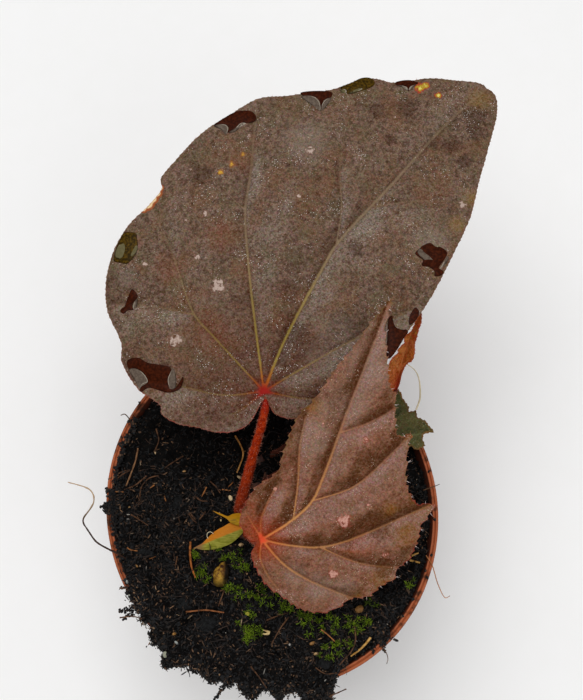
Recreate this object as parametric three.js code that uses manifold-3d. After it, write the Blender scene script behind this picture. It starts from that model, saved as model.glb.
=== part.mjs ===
// A young rhizomatous begonia in a small terracotta-coloured nursery pot of thin plastic.
// Four leaves rise from a short creeping stem in black peat: a large brown-black one over the
// back of the pot, a toothed brown-pink one in front, a young orange one and a green one.
// Millimetres, +Z up. The origin is the middle of the pot's underside.
import * as THREE from 'three';
import { mergeVertices } from 'three/addons/utils/BufferGeometryUtils.js';
import Module from 'manifold-3d';

const wasm = await Module();
wasm.setup();

const CLEARANCE = 0.3; // between pieces that touch on the real plant
const DEGREE = Math.PI / 180;

// Driving dimensions
const POT = {
  rimRadius: 43.5, baseRadius: 30, height: 75, wall: 0.9, floor: 1.4,
  lipWidth: 1.7, lipDepth: 3.4, grooveDepth: 0.35,
  squeeze: 0.036, longAxis: 109 * DEGREE, // a soft pot stands slightly oval at its rim
  holes: 6, holeRadius: 3.6, holeCircle: 21, segments: 52,
};
const SOIL = {
  level: 72.2, fallBack: 0.085, fallRight: 0.03,
  heap: new THREE.Vector2(-10, -38.5), heapHeight: 4, heapSpread: 17,
  bump: 0.55, spill: 0.8, spokes: 44,
  lumps: 14, lumpRadius: [1.2, 2.3],
  capReach: 38.2, capFloor: 64, plugTop: 66, spillDepth: 1.6, plugGap: 0.4,
};
// How far the soil reaches from the middle, by bearing: it spills over the front of the rim.
const SOIL_REACH = [
  [0, 38], [200, 38], [209, 42], [216, 45], [229, 48], [238, 47.5], [247, 45], [256, 46],
  [264, 47.5], [272, 49], [281, 50], [287, 50], [292, 46], [297, 41], [303, 38],
];
const LARGE_LEAF = {
  joint: new THREE.Vector3(-1.6, 23.3, 102), tilt: 5 * DEGREE, turn: 0, spin: 0,
  thickness: 0.7, crown: new THREE.Vector2(14, 32), crownHeight: 7, crownRadius: 55,
  pucker: 1.3, puckerWidth: 7, hub: new THREE.Vector2(7, 32), step: 3.4, rings: 6, tooth: 0,
};
const FRONT_LEAF = {
  joint: new THREE.Vector3(-2.1, -10.6, 91), tilt: 26.6 * DEGREE, turn: 5.2 * DEGREE, spin: 0,
  thickness: 0.65, crown: new THREE.Vector2(18, 12), crownHeight: 3, crownRadius: 40,
  pucker: 1.2, puckerWidth: 4, hub: new THREE.Vector2(15, 9), step: 1.75, rings: 5, tooth: 0.35,
};
const YOUNG_LEAF = {
  joint: new THREE.Vector3(31.3, 27.9, 85.5), length: new THREE.Vector3(4.6, 15.3, 16),
  face: new THREE.Vector3(-0.97, 0.25, 0.1), thickness: 1.5, fold: 2.1, // still folded along its midrib
  crown: new THREE.Vector2(0, 11), crownHeight: -0.5, crownRadius: 11,
  pucker: 0, puckerWidth: 2, hub: new THREE.Vector2(0, 9), step: 1.6, rings: 4, tooth: 0.12,
};
const GREEN_LEAF = {
  joint: new THREE.Vector3(24.5, 16.5, 79.4), tilt: -5 * DEGREE, turn: 2 * DEGREE, spin: 0,
  thickness: 0.65, crown: new THREE.Vector2(8, 2), crownHeight: 2, crownRadius: 20,
  pucker: 0.7, puckerWidth: 3.5, hub: new THREE.Vector2(6, 4), step: 1.9, rings: 4, tooth: 0.3,
};

// Leaf outlines: bearing in degrees and distance in mm from the stalk joint, in the blade plane
const LARGE_OUTLINE = [
  [284, 1.8], [294, 5.5], [304, 7.4], [317, 9.7], [338, 14.4], [352, 19.4], [5, 25.3], [15, 31],
  [23, 37.8], [29, 45.5], [36, 56.5], [41, 67.3], [44.5, 74], [48, 83.5], [51, 93.5], [53, 97.4],
  [55.5, 98], [59, 94.6], [63, 91], [67.5, 85.8], [71, 84.9], [73, 83.9], [77.5, 79], [86, 75.4], [91.6, 74.7],
  [97, 71], [105, 66.4], [111, 62.3], [115.9, 59.2], [116.6, 57], [121, 55.1], [129, 53.5], [137, 51],
  [145, 47.5], [152, 43.5], [161, 36.6], [167, 35.5], [178, 30.5], [187, 25.1], [191.5, 25.1],
  [200, 21.9], [208, 17.9], [220, 14.8], [232, 12], [245, 8.4], [260, 2.6],
];
const FRONT_OUTLINE = [
  [62.6, 60.8], [63.4, 58.4], [64.8, 51], [66.6, 46.5], [68.5, 40.6], [70.2, 36.2], [73.5, 32.3],
  [75.4, 28], [76.4, 24.2], [77.2, 21.4], [77.5, 17.6], [80.7, 16.3], [87, 14.9], [94, 13.8],
  [102, 12.1], [112, 10.2], [127, 8.4], [140, 6.7], [156, 4.6], [180, 2.8], [206, 1.4], [233, 4.2],
  [255, 6.9], [270, 10], [277, 12.4], [288, 15.5], [298, 20.6], [309, 24.7], [317, 26], [323, 27],
  [329.5, 30.3], [336, 31.5], [341, 34], [345.5, 34.3], [350, 36.2], [359, 37.8], [4, 38.7], [6.4, 40.4],
  [10.1, 42.3], [12, 38.2], [14.9, 37.3], [19.1, 36.9], [24.4, 37.8], [29, 39.6], [32.2, 41.2],
  [35.1, 43.9], [36.4, 41.6], [38.2, 41], [43, 43.5], [48.2, 47.4], [50.4, 47.7], [53.5, 50.5],
  [57, 54.4], [59.8, 58.5], [61.4, 65],
];
const YOUNG_OUTLINE = [
  [270, 0.8], [17, 1.05], [65, 3.3], [78, 7.2], [83, 11.1], [86.2, 15], [88.2, 19],
  [90, 22.6], [91.8, 19], [93.8, 15], [97, 11.1], [102, 7.2], [115, 3.3], [163, 1.05],
];
const GREEN_OUTLINE = [
  [195, 1.6], [240, 5.5], [275, 7.5], [305, 8.6], [330, 9.6], [340, 10.2], [349, 10.8], [346, 12.5],
  [349, 13.4], [353, 14.5], [359, 14], [3, 14.1], [6, 14.9], [7, 17.1], [13, 16], [17, 15.7], [21, 14.7],
  [25, 14], [31, 14.6], [33, 13.4], [35, 12.9], [37, 13.5], [49, 14.2], [54, 15], [59, 15.6], [63, 14],
  [74, 10.5], [92, 9], [115, 8], [140, 6], [165, 3.6],
];

// Veins: each runs through these points of the blade's plane, in mm from the stalk's joint
const LARGE_VEINS = [
  [[0, 0], [4.5, 11.1], [13.5, 28.5], [17.3, 35.2], [31.3, 51.3], [46, 69], [57, 80]],
  [[0, 0], [-1.6, 11.8], [-3.9, 31.4], [-4.7, 44.3], [-3.5, 54.1], [-2.3, 72]],
  [[-4.7, 44.3], [-10, 50.1], [-15.5, 59]],
  [[0, 0], [-12.2, 13.3], [-16.8, 18.6], [-23, 35.4], [-28, 46]],
  [[-16.8, 18.6], [-27, 21], [-36, 22]],
  [[0, 0], [-9.6, -0.8], [-20, 1.5], [-30, 3]],
  [[17.3, 35.2], [18.7, 44.1], [18.5, 55.4], [20.5, 70]],
  [[0, 0], [7, 4.1], [19.1, 11], [36, 20]],
  [[26, 45], [38, 47], [50, 47]],
  [[0, 0], [8, -1.6], [15, -2]],
  [[0, 0], [-5, -4], [-10, -6.5]],
];
const FRONT_VEINS = [
  [[0, 0], [7.5, 5], [12, 9.5], [14.8, 15.9], [19.7, 29.3], [24.3, 40.9], [30.5, 56]],
  [[0, 0], [6.8, -1.6], [13.8, -2.2], [19.9, -1], [34.6, 4.9], [40.5, 7.2]],
  [[0, 0], [4.9, -6.1], [10.7, -10.4], [22, -16]],
  [[0, 0], [-0.4, -4.6], [1.4, -9.2], [4, -13]],
  [[0, 0], [-0.2, 4.7], [1.5, 9.4], [3.4, 13]],
  [[0, 0], [-1.9, 3.5], [-4, 7.2]],
  [[12, 9.5], [22.1, 12.9], [30.5, 20.1], [35, 24.5]],
  [[7.5, 5], [8.6, 14], [9.1, 23], [10.5, 30]],
  [[13.8, -2.2], [24, -6.8], [34, -8.5]],
  [[18.6, 26], [25, 28], [31, 31]],
];
const YOUNG_VEINS = [
  [[0, 0], [0, 22]],
];
const GREEN_VEINS = [
  [[0, 0], [9, 0.6], [16.5, 1.8]],
  [[0, 0], [7, 5], [10.5, 6.8]],
  [[0, 0], [3, 7], [4, 11]],
  [[0, 0], [6, -4.5], [9.5, -5]],
];

// Stalks and the creeping stem: points from root to tip, radius at root and tip
const STEM = {
  path: [[-3, 17, 67], [-3, 11.5, 68.6], [-4.6, 4, 69.6], [-6.6, -3, 71.2], [-8.4, -8.4, 72.6]],
  radii: [2.6, 2.8], knots: 0.35, sides: 8, steps: 10,
};
const STALKS = {
  large_leaf_stalk: {
    path: [[-8.6, -3.2, 68.6], [-8.1, -0.6, 72.4], [-6, 8, 84.5], [-2.3, 20.4, 98.8], [-1.7, 22.5, 101]],
    radii: [1.9, 1.45], sides: 9, steps: 9, blade: 'large_leaf',
  },
  front_leaf_stalk: {
    path: [[-6.6, -5.4, 70.4], [-5.6, -7.4, 76], [-3.2, -10.2, 86], [-2.3, -10.9, 89.3]],
    radii: [1.6, 1.15], sides: 8, steps: 7, blade: 'front_leaf',
  },
  young_leaf_stalk: {
    path: [[-3.6, 12, 68.2], [3, 15.4, 73], [14, 19.6, 78.6], [24, 22.8, 81.8], [29.4, 24.6, 82.8],
      [31.1, 27, 84.6]],
    radii: [1.35, 0.8], sides: 7, steps: 12, blade: 'young_leaf',
  },
  green_leaf_stalk: {
    path: [[-4.4, 6, 69], [1.5, 8.6, 73.6], [13, 13, 77], [23.6, 16.3, 79], [25.6, 16.9, 80.4]],
    radii: [1.3, 0.85], sides: 7, steps: 9, blade: 'green_leaf',
  },
};

// Sheaths that covered the growing tip: same terms as a leaf
const SHEATHS = {
  upper_sheath: {
    joint: new THREE.Vector3(-8.2, -4.4, 76.2), tilt: -6 * DEGREE, turn: 6 * DEGREE, spin: 0,
    outline: [[0, 1.8], [60, 2.4], [110, 2.9], [148, 3.6], [158, 5.4], [161.5, 7.8], [165, 5.6], [180, 3.6],
      [220, 3], [300, 2.2]],
    veins: [[[0, 0], [-4, 0.8]]],
    thickness: 0.6, crown: new THREE.Vector2(0, 0), crownHeight: 1.4, crownRadius: 6,
    pucker: -0.5, puckerWidth: 1.5, hub: new THREE.Vector2(-2, 0.6), step: 1.1, rings: 2, tooth: 0,
    color: 0xb9a12b,
  },
  lower_sheath: {
    joint: new THREE.Vector3(-10.8, -8.6, 75.6), tilt: 4 * DEGREE, turn: -7 * DEGREE, spin: 16 * DEGREE,
    outline: [[10, 3.4], [60, 2.2], [100, 2.2], [140, 2.7], [165, 5.2], [181, 9.4], [190, 6], [215, 3.2],
      [255, 2.4], [310, 2.4]],
    veins: [[[2, 0], [-6, 0]]],
    thickness: 0.7, crown: new THREE.Vector2(0, 0), crownHeight: 2, crownRadius: 6,
    pucker: -0.8, puckerWidth: 1.6, hub: new THREE.Vector2(-2.5, 0), step: 1.1, rings: 2, tooth: 0,
    color: 0x9aa03a,
  },
};

// Litter on the soil: plan points; the height follows the soil
const STRAWS = {
  straw_left: { path: [[-34.6, 14.8], [-35.8, 9.6], [-37.2, 5]], radius: 0.55, color: 0x7a5638 },
  straw_pale: { path: [[-9.8, 19], [-7.6, 14], [-9.2, 9]], radius: 0.45, color: 0xa87c48 },
  straw_heel: { path: [[-20.6, -9.6], [-20.2, -14.6], [-19.4, -18]], radius: 0.55, color: 0x9a5f34 },
  straw_front: { path: [[-21.8, -26.6], [-16.4, -26.2], [-11.6, -26.8]], radius: 0.5, color: 0x8a5636 },
};
const CURLED_ROOT = {
  path: [[-34.8, -14.4, 73.6], [-38.5, -12.3, 76.2], [-41.4, -10.9, 77.1], [-43.8, -9.5, 77.5],
    [-46, -6.7, 77.7], [-47.4, -4.2, 77.9], [-45.7, -1.4, 78.3], [-44.7, 0.4, 79], [-44.9, 2.2, 79.6],
    [-46.1, 3.5, 80], [-51.1, 5, 81]],
  radii: [0.42, 0.32], sides: 5, steps: 28, color: 0x3a2a20,
};
const HUSK = {
  place: new THREE.Vector3(-12.6, -17, 76.2), radii: [1.5, 3.4, 1.3], turn: -14 * DEGREE, color: 0x8d7433,
};

// A repeatable stream of numbers from 0 to 1.
function seeded(seed) {
  let state = seed;
  return () => {
    state = (Math.imul(state, 1664525) + 1013904223) >>> 0;
    return state / 4294967296;
  };
}

function solidFrom(geometry) {
  const bare = new THREE.BufferGeometry().setAttribute('position', geometry.getAttribute('position'));
  bare.setIndex(geometry.index);
  const merged = mergeVertices(bare, 1e-4);
  const faces = [];
  for (let i = 0; i < merged.index.count; i += 3) {
    const [a, b, c] = [0, 1, 2].map((k) => merged.index.getX(i + k));
    if (a !== b && b !== c && c !== a) faces.push(a, b, c);
  }
  return new wasm.Manifold(new wasm.Mesh({
    numProp: 3,
    vertProperties: merged.getAttribute('position').array,
    triVerts: new Uint32Array(faces),
  }));
}

function geometryFrom(solid) {
  const { vertProperties, triVerts } = solid.getMesh();
  return new THREE.BufferGeometry()
    .setAttribute('position', new THREE.BufferAttribute(vertProperties, 3))
    .setIndex(new THREE.BufferAttribute(triVerts, 1));
}

const largestOf = (solid) => solid.decompose().sort((a, b) => b.volume() - a.volume())[0];

function meshOf(name, geometry, color, roughness = 0.7) {
  const shaded = geometry.toNonIndexed();
  shaded.computeVertexNormals();
  const mesh = new THREE.Mesh(shaded, new THREE.MeshStandardMaterial({ color, roughness, metalness: 0 }));
  mesh.name = name;
  return mesh;
}

// Pot
function squeeze(x, y, z) {
  const share = POT.squeeze * z / POT.height;
  const [c, s] = [Math.cos(POT.longAxis), Math.sin(POT.longAxis)];
  const along = (x * c + y * s) * (1 + share);
  const across = (y * c - x * s) * (1 - share);
  return [along * c - across * s, along * s + across * c, z];
}

function squeezed(geometry) {
  const p = geometry.getAttribute('position');
  for (let i = 0; i < p.count; i++) p.setXYZ(i, ...squeeze(p.getX(i), p.getY(i), p.getZ(i)));
  return geometry;
}

const wallSpread = POT.rimRadius - POT.lipWidth + POT.wall - POT.baseRadius;
const wallRadius = (z) => POT.baseRadius + wallSpread * z / POT.height;
const innerRadius = (z) => wallRadius(z) - POT.wall;

// The pot's profile, grown by a clearance for cutting what lies against it.
function potProfile(grow) {
  const { rimRadius, height, lipWidth, lipDepth, grooveDepth, floor } = POT;
  const lipMiddle = rimRadius - lipWidth / 2;
  return [
    [0, -grow], [wallRadius(0) - 0.8 + grow, -grow], [wallRadius(0) + grow, 0.8],
    [wallRadius(height - lipDepth) + grow, height - lipDepth - grow],
    [rimRadius - 0.2 + grow, height - lipDepth - grow], [rimRadius + grow, height - lipDepth + 0.4],
    [rimRadius + grow, height - 0.4], [rimRadius - 0.4 + grow, height + grow],
    [lipMiddle + 0.25, height + grow], [lipMiddle, height - grooveDepth + grow],
    [lipMiddle - 0.25, height + grow],
    [innerRadius(height) + 0.25 - grow, height + grow], [innerRadius(height) - grow, height - 0.3],
    [innerRadius(floor) - grow, floor + grow], [0, floor + grow],
  ].map(([r, z]) => new THREE.Vector2(r, z));
}

function potSolid(grow) {
  const turned = new THREE.LatheGeometry(potProfile(grow), POT.segments);
  turned.rotateX(Math.PI / 2); // the lathe's axis is Y
  return solidFrom(squeezed(turned));
}

function makePot() {
  let pot = potSolid(0);
  for (let i = 0; i < POT.holes; i++) {
    const bearing = (i + 0.5) * 2 * Math.PI / POT.holes;
    const hole = new THREE.CylinderGeometry(POT.holeRadius, POT.holeRadius, 4 * POT.floor, 14);
    hole.rotateX(Math.PI / 2);
    hole.translate(POT.holeCircle * Math.cos(bearing), POT.holeCircle * Math.sin(bearing), POT.floor / 2);
    pot = pot.subtract(solidFrom(hole));
  }
  return pot;
}

// Soil
function soilHeight(x, y) {
  const radius = Math.hypot(x, y);
  const fromHeap = (x - SOIL.heap.x) ** 2 + (y - SOIL.heap.y) ** 2;
  const heap = SOIL.heapHeight * Math.exp(-fromHeap / (2 * SOIL.heapSpread ** 2));
  const bumps = Math.sin(0.61 * x + 0.8) * Math.sin(0.53 * y) + 0.6 * Math.sin(1.15 * x - 0.9 * y + 2);
  const spill = SOIL.spill * Math.max(0, radius - POT.rimRadius);
  return SOIL.level - SOIL.fallBack * y - SOIL.fallRight * x + heap + SOIL.bump * bumps - spill;
}

function soilReach(bearing) {
  const i = SOIL_REACH.findLastIndex(([at]) => at <= bearing);
  const [from, low] = SOIL_REACH[i];
  const [to, high] = SOIL_REACH[i + 1] ?? [360 + SOIL_REACH[0][0], SOIL_REACH[0][1]];
  return THREE.MathUtils.lerp(low, high, THREE.MathUtils.smoothstep(bearing, from, to));
}

// The top of the soil, closed below: rings of points from the middle to its reach.
function soilCap() {
  const inside = [5, 10, 15, 20, 25, 29.5, 33.5, 37];
  const points = [];
  const faces = [];
  const rings = inside.length + 2;
  const point = (radius, bearing, low) => {
    const [x, y] = squeeze(radius * Math.cos(bearing), radius * Math.sin(bearing), POT.height);
    const top = soilHeight(x, y);
    const lip = Math.min(POT.height - POT.lipDepth, top - SOIL.spillDepth);
    const under = radius <= SOIL.capReach ? SOIL.capFloor : lip;
    points.push(x, y, low ? under : top);
  };
  for (const low of [false, true]) {
    point(0, 0, low);
    for (let ring = 0; ring < rings; ring++) {
      for (let i = 0; i < SOIL.spokes; i++) {
        const bearing = i * 360 / SOIL.spokes;
        const reach = soilReach(bearing);
        const radius = inside[ring] ?? (ring === rings - 1 ? reach : (37 + reach) / 2);
        point(radius, bearing * DEGREE, low);
      }
    }
  }
  const half = points.length / 6;
  const at = (low, ring, i) => low * half + (ring < 0 ? 0 : 1 + ring * SOIL.spokes + (i % SOIL.spokes));
  for (let i = 0; i < SOIL.spokes; i++) {
    for (let ring = 0; ring < rings; ring++) {
      for (const low of [0, 1]) {
        const [a, b] = [at(low, ring - 1, i), at(low, ring, i)];
        const [c, d] = [at(low, ring, i + 1), at(low, ring - 1, i + 1)];
        faces.push(...(low ? [a, c, b] : [a, b, c]));
        if (ring > 0) faces.push(...(low ? [a, d, c] : [a, c, d]));
      }
    }
    const [top, next] = [at(0, rings - 1, i), at(0, rings - 1, i + 1)];
    const [bottom, nextBottom] = [at(1, rings - 1, i), at(1, rings - 1, i + 1)];
    faces.push(top, bottom, nextBottom, top, nextBottom, next);
  }
  const geometry = new THREE.BufferGeometry();
  geometry.setAttribute('position', new THREE.Float32BufferAttribute(points, 3));
  geometry.setIndex(faces);
  return solidFrom(geometry);
}

function soilPlug() {
  const [low, high] = [POT.floor + CLEARANCE, SOIL.plugTop];
  const [narrow, wide] = [innerRadius(low) - SOIL.plugGap, innerRadius(high) - SOIL.plugGap];
  const profile = [[0, low], [narrow, low], [wide, high], [0, high]];
  const plug = new THREE.LatheGeometry(profile.map(([r, z]) => new THREE.Vector2(r, z)), POT.segments);
  plug.rotateX(Math.PI / 2);
  return solidFrom(squeezed(plug));
}

function lump(x, y, z, radius, random) {
  const crumb = new THREE.IcosahedronGeometry(radius, 0);
  crumb.scale(1 + 0.3 * random(), 1, 0.7 + 0.3 * random());
  crumb.rotateZ(random() * Math.PI);
  crumb.rotateX(random() * 0.8);
  crumb.translate(x, y, z);
  return solidFrom(crumb);
}

function makeSoil(cutters) {
  const random = seeded(7);
  let soil = soilCap().add(soilPlug());
  const [small, big] = SOIL.lumpRadius;
  for (let i = 0; i < SOIL.lumps; i++) {
    const bearing = random() * 360;
    const radius = soilReach(bearing) * Math.sqrt(0.15 + 0.83 * random());
    const angle = bearing * DEGREE;
    const [x, y] = squeeze(radius * Math.cos(angle), radius * Math.sin(angle), POT.height);
    const size = small + (big - small) * random();
    soil = soil.add(lump(x, y, soilHeight(x, y) + 0.15 * size, size, random));
  }
  // A clod lies across the rim on the left.
  for (const [x, y, z, size] of [[-37.4, 0.5, 73, 2.6], [-40.2, 1.4, 75.4, 2.3], [-43, 0.2, 76.3, 2]]) {
    soil = soil.add(lump(x, y, z, size, random));
  }
  soil = soil.subtract(potSolid(CLEARANCE));
  for (const cutter of cutters) soil = soil.subtract(cutter);
  return largestOf(soil);
}

// Tapered round pieces
// A closed tube along a smooth path. The radius runs from root to tip, with an optional swelling rule.
function sweep({ path, radii, sides = 8, steps = 12, knots = 0 }, grow = 0) {
  const curve = new THREE.CatmullRomCurve3(path.map((p) => new THREE.Vector3(...p)), false, 'centripetal');
  const frames = curve.computeFrenetFrames(steps, false);
  const points = [];
  const faces = [];
  for (let i = 0; i <= steps; i++) {
    const share = i / steps;
    const middle = curve.getPointAt(share);
    const swell = knots * Math.sin(share * 5 * Math.PI) ** 2;
    const radius = THREE.MathUtils.lerp(radii[0], radii[1], share) + swell + grow;
    for (let k = 0; k < sides; k++) {
      const angle = 2 * Math.PI * k / sides;
      const out = frames.normals[i].clone().multiplyScalar(Math.cos(angle) * radius)
        .addScaledVector(frames.binormals[i], Math.sin(angle) * radius);
      points.push(...middle.clone().add(out).toArray());
    }
  }
  for (let i = 0; i < steps; i++) {
    for (let k = 0; k < sides; k++) {
      const [a, b] = [i * sides + k, i * sides + (k + 1) % sides];
      faces.push(a, b, b + sides, a, b + sides, a + sides);
    }
  }
  const first = points.length / 3;
  points.push(...curve.getPointAt(0).toArray(), ...curve.getPointAt(1).toArray());
  for (let k = 0; k < sides; k++) {
    const next = (k + 1) % sides;
    faces.push(first, next, k, first + 1, steps * sides + k, steps * sides + next);
  }
  const geometry = new THREE.BufferGeometry();
  geometry.setAttribute('position', new THREE.Float32BufferAttribute(points, 3));
  geometry.setIndex(faces);
  return solidFrom(geometry);
}

// Leaf blades
const polar = ([bearing, radius]) => new THREE.Vector2(
  radius * Math.cos(bearing * DEGREE), radius * Math.sin(bearing * DEGREE));

// A smooth closed curve through the outline's points, each of which stays a point of the edge.
function edgeOf(outline, step) {
  const corners = outline.map(polar);
  const through = corners.map((p) => new THREE.Vector3(p.x, p.y, 0));
  const curve = new THREE.CatmullRomCurve3(through, true, 'centripetal');
  const edge = [];
  corners.forEach((corner, i) => {
    const span = corner.distanceTo(corners[(i + 1) % corners.length]);
    const pieces = Math.max(1, Math.round(span / step));
    for (let k = 0; k < pieces; k++) {
      const p = curve.getPoint((i + k / pieces) / corners.length);
      edge.push(new THREE.Vector2(p.x, p.y));
    }
  });
  return edge;
}

function distanceToVeins(x, y, veins) {
  const here = new THREE.Vector3(x, y, 0);
  const nearest = new THREE.Vector3();
  let least = Infinity;
  for (const vein of veins) {
    for (let i = 1; i < vein.length; i++) {
      const part = new THREE.Line3(new THREE.Vector3(...vein[i - 1], 0), new THREE.Vector3(...vein[i], 0));
      part.closestPointToPoint(here, true, nearest);
      least = Math.min(least, nearest.distanceTo(here));
    }
  }
  return least;
}

// Height of the blade over its plane: a shallow dome, with the panels between the veins puffed up.
function rise(x, y, leaf, veins) {
  const bend = leaf.crownHeight / leaf.crownRadius ** 2;
  const dome = bend * (leaf.crown.lengthSq() - (x - leaf.crown.x) ** 2 - (y - leaf.crown.y) ** 2);
  const fold = (leaf.fold ?? 0) * Math.abs(x);
  const puff = leaf.pucker * (0.5 - Math.exp(-distanceToVeins(x, y, veins) / leaf.puckerWidth));
  return dome + fold + puff;
}

// A blade has the same triangles on both faces: rings that shrink from the edge to its hub.
function blade(leaf, outline, veins, grow = 0) {
  const edge = edgeOf(outline, leaf.step);
  const count = edge.length;
  const half = leaf.thickness / 2 + grow;
  const points = [];
  const faces = [];
  const toothed = edge.map((p, i) => {
    const along = edge[(i + 1) % count].clone().sub(edge[(i + count - 1) % count]).normalize();
    const out = new THREE.Vector2(along.y, -along.x);
    const tooth = p.length() > 6 ? leaf.tooth * (i % 2 ? 1 : -0.4) : 0;
    return p.clone().addScaledVector(out, tooth + grow);
  });
  for (const side of [1, -1]) {
    points.push(leaf.hub.x, leaf.hub.y, rise(leaf.hub.x, leaf.hub.y, leaf, veins) + side * half);
    for (let ring = 1; ring <= leaf.rings; ring++) {
      const share = Math.pow(ring / leaf.rings, 0.8);
      for (let i = 0; i < count; i++) {
        const p = ring === leaf.rings ? toothed[i] : leaf.hub.clone().lerp(edge[i], share);
        points.push(p.x, p.y, rise(p.x, p.y, leaf, veins) + side * half);
      }
    }
  }
  const layer = 1 + leaf.rings * count;
  const at = (under, ring, i) => under * layer + (ring ? 1 + (ring - 1) * count + (i % count) : 0);
  for (let i = 0; i < count; i++) {
    for (let ring = 1; ring <= leaf.rings; ring++) {
      for (const under of [0, 1]) {
        const [a, b] = [at(under, ring - 1, i), at(under, ring, i)];
        const [c, d] = [at(under, ring, i + 1), at(under, ring - 1, i + 1)];
        faces.push(...(under ? [a, c, b] : [a, b, c]));
        if (ring > 1) faces.push(...(under ? [a, d, c] : [a, c, d]));
      }
    }
    const [top, next] = [at(0, leaf.rings, i), at(0, leaf.rings, i + 1)];
    const [bottom, nextBottom] = [at(1, leaf.rings, i), at(1, leaf.rings, i + 1)];
    faces.push(top, bottom, nextBottom, top, nextBottom, next);
  }
  const geometry = new THREE.BufferGeometry();
  geometry.setAttribute('position', new THREE.Float32BufferAttribute(points, 3));
  geometry.setIndex(faces);
  return geometry;
}

// The blade's own frame: tilted and turned about its joint, or set by its length and face.
function placeOf(leaf) {
  const place = new THREE.Matrix4();
  if (leaf.length) {
    const up = leaf.length.clone().normalize();
    const face = leaf.face.clone().addScaledVector(up, -leaf.face.dot(up)).normalize();
    place.makeBasis(up.clone().cross(face), up, face);
  } else {
    place.makeRotationFromEuler(new THREE.Euler(leaf.tilt, leaf.turn, leaf.spin));
  }
  return place.setPosition(leaf.joint);
}

function placed(mesh, leaf) {
  placeOf(leaf).decompose(mesh.position, mesh.quaternion, mesh.scale);
  return mesh;
}

// Assembly
const plant = new THREE.Group();
const LEAVES = {
  large_leaf: { leaf: LARGE_LEAF, outline: LARGE_OUTLINE, veins: LARGE_VEINS, color: 0x4d3f38 },
  front_leaf: { leaf: FRONT_LEAF, outline: FRONT_OUTLINE, veins: FRONT_VEINS, color: 0x6b4541 },
  young_leaf: { leaf: YOUNG_LEAF, outline: YOUNG_OUTLINE, veins: YOUNG_VEINS, color: 0xa04a1e },
  green_leaf: { leaf: GREEN_LEAF, outline: GREEN_OUTLINE, veins: GREEN_VEINS, color: 0x474a30 },
};
const bladeCutters = {};
for (const [name, { leaf, outline, veins, color }] of Object.entries(LEAVES)) {
  plant.add(placed(meshOf(name + '_blade', blade(leaf, outline, veins), color, 0.5), leaf));
  bladeCutters[name] = solidFrom(blade(leaf, outline, veins, CLEARANCE).applyMatrix4(placeOf(leaf)));
}

const inSoil = [];
const inStem = [];
for (const [name, stalk] of Object.entries(STALKS)) {
  const stalkSolid = largestOf(sweep(stalk).subtract(bladeCutters[stalk.blade]));
  plant.add(meshOf(name, geometryFrom(stalkSolid), 0x8e2f1c, 0.5));
  inStem.push(sweep(stalk, CLEARANCE));
}
for (const [name, sheath] of Object.entries(SHEATHS)) {
  plant.add(placed(meshOf(name, blade(sheath, sheath.outline, sheath.veins), sheath.color, 0.5), sheath));
  const grown = blade(sheath, sheath.outline, sheath.veins, CLEARANCE);
  inStem.push(solidFrom(grown.applyMatrix4(placeOf(sheath))));
}
let stem = sweep(STEM);
for (const cutter of inStem) stem = stem.subtract(cutter);
plant.add(meshOf('creeping_stem', geometryFrom(largestOf(stem)), 0x4a2c20));
inSoil.push(sweep(STEM, CLEARANCE), ...inStem);

for (const [name, { path, radius, color }] of Object.entries(STRAWS)) {
  const lying = {
    path: path.map(([x, y]) => [x, y, soilHeight(x, y) + 0.4 * radius]),
    radii: [radius, 0.7 * radius], sides: 5, steps: 6,
  };
  plant.add(meshOf(name, geometryFrom(sweep(lying)), color, 0.8));
  inSoil.push(sweep(lying, CLEARANCE));
}
plant.add(meshOf('curled_root', geometryFrom(sweep(CURLED_ROOT)), CURLED_ROOT.color, 0.8));
inSoil.push(sweep(CURLED_ROOT, CLEARANCE));
const huskShape = (grow) => {
  const husk = new THREE.SphereGeometry(1, 10, 8);
  husk.scale(...HUSK.radii.map((r) => r + grow));
  husk.rotateZ(HUSK.turn);
  husk.translate(...HUSK.place.toArray());
  return solidFrom(husk);
};
plant.add(meshOf('husk', geometryFrom(huskShape(0)), HUSK.color, 0.7));
inSoil.push(huskShape(CLEARANCE));

plant.add(meshOf('pot', geometryFrom(makePot()), 0xb0623f, 0.55));
plant.add(meshOf('soil', geometryFrom(makeSoil(inSoil)), 0x17120f, 0.95));

export default plant;
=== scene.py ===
import math

import bpy
import numpy as np
from mathutils import Matrix, Vector, kdtree, noise
from mathutils.geometry import delaunay_2d_cdt


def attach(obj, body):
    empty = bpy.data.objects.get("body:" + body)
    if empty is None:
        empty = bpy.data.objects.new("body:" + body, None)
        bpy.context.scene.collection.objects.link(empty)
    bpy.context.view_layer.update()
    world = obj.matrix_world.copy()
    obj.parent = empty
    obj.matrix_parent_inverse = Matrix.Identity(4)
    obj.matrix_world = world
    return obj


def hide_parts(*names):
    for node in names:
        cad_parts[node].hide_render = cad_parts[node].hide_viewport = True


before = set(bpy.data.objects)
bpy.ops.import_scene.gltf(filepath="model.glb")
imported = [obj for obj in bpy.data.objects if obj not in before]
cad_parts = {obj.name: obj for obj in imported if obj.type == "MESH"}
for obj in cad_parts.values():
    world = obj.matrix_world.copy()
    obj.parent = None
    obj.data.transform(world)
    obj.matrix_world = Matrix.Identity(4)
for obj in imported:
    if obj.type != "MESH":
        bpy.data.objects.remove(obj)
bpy.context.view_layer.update()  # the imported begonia: pot, soil, stem, four stalks, four blades, sheaths and litter

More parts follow.
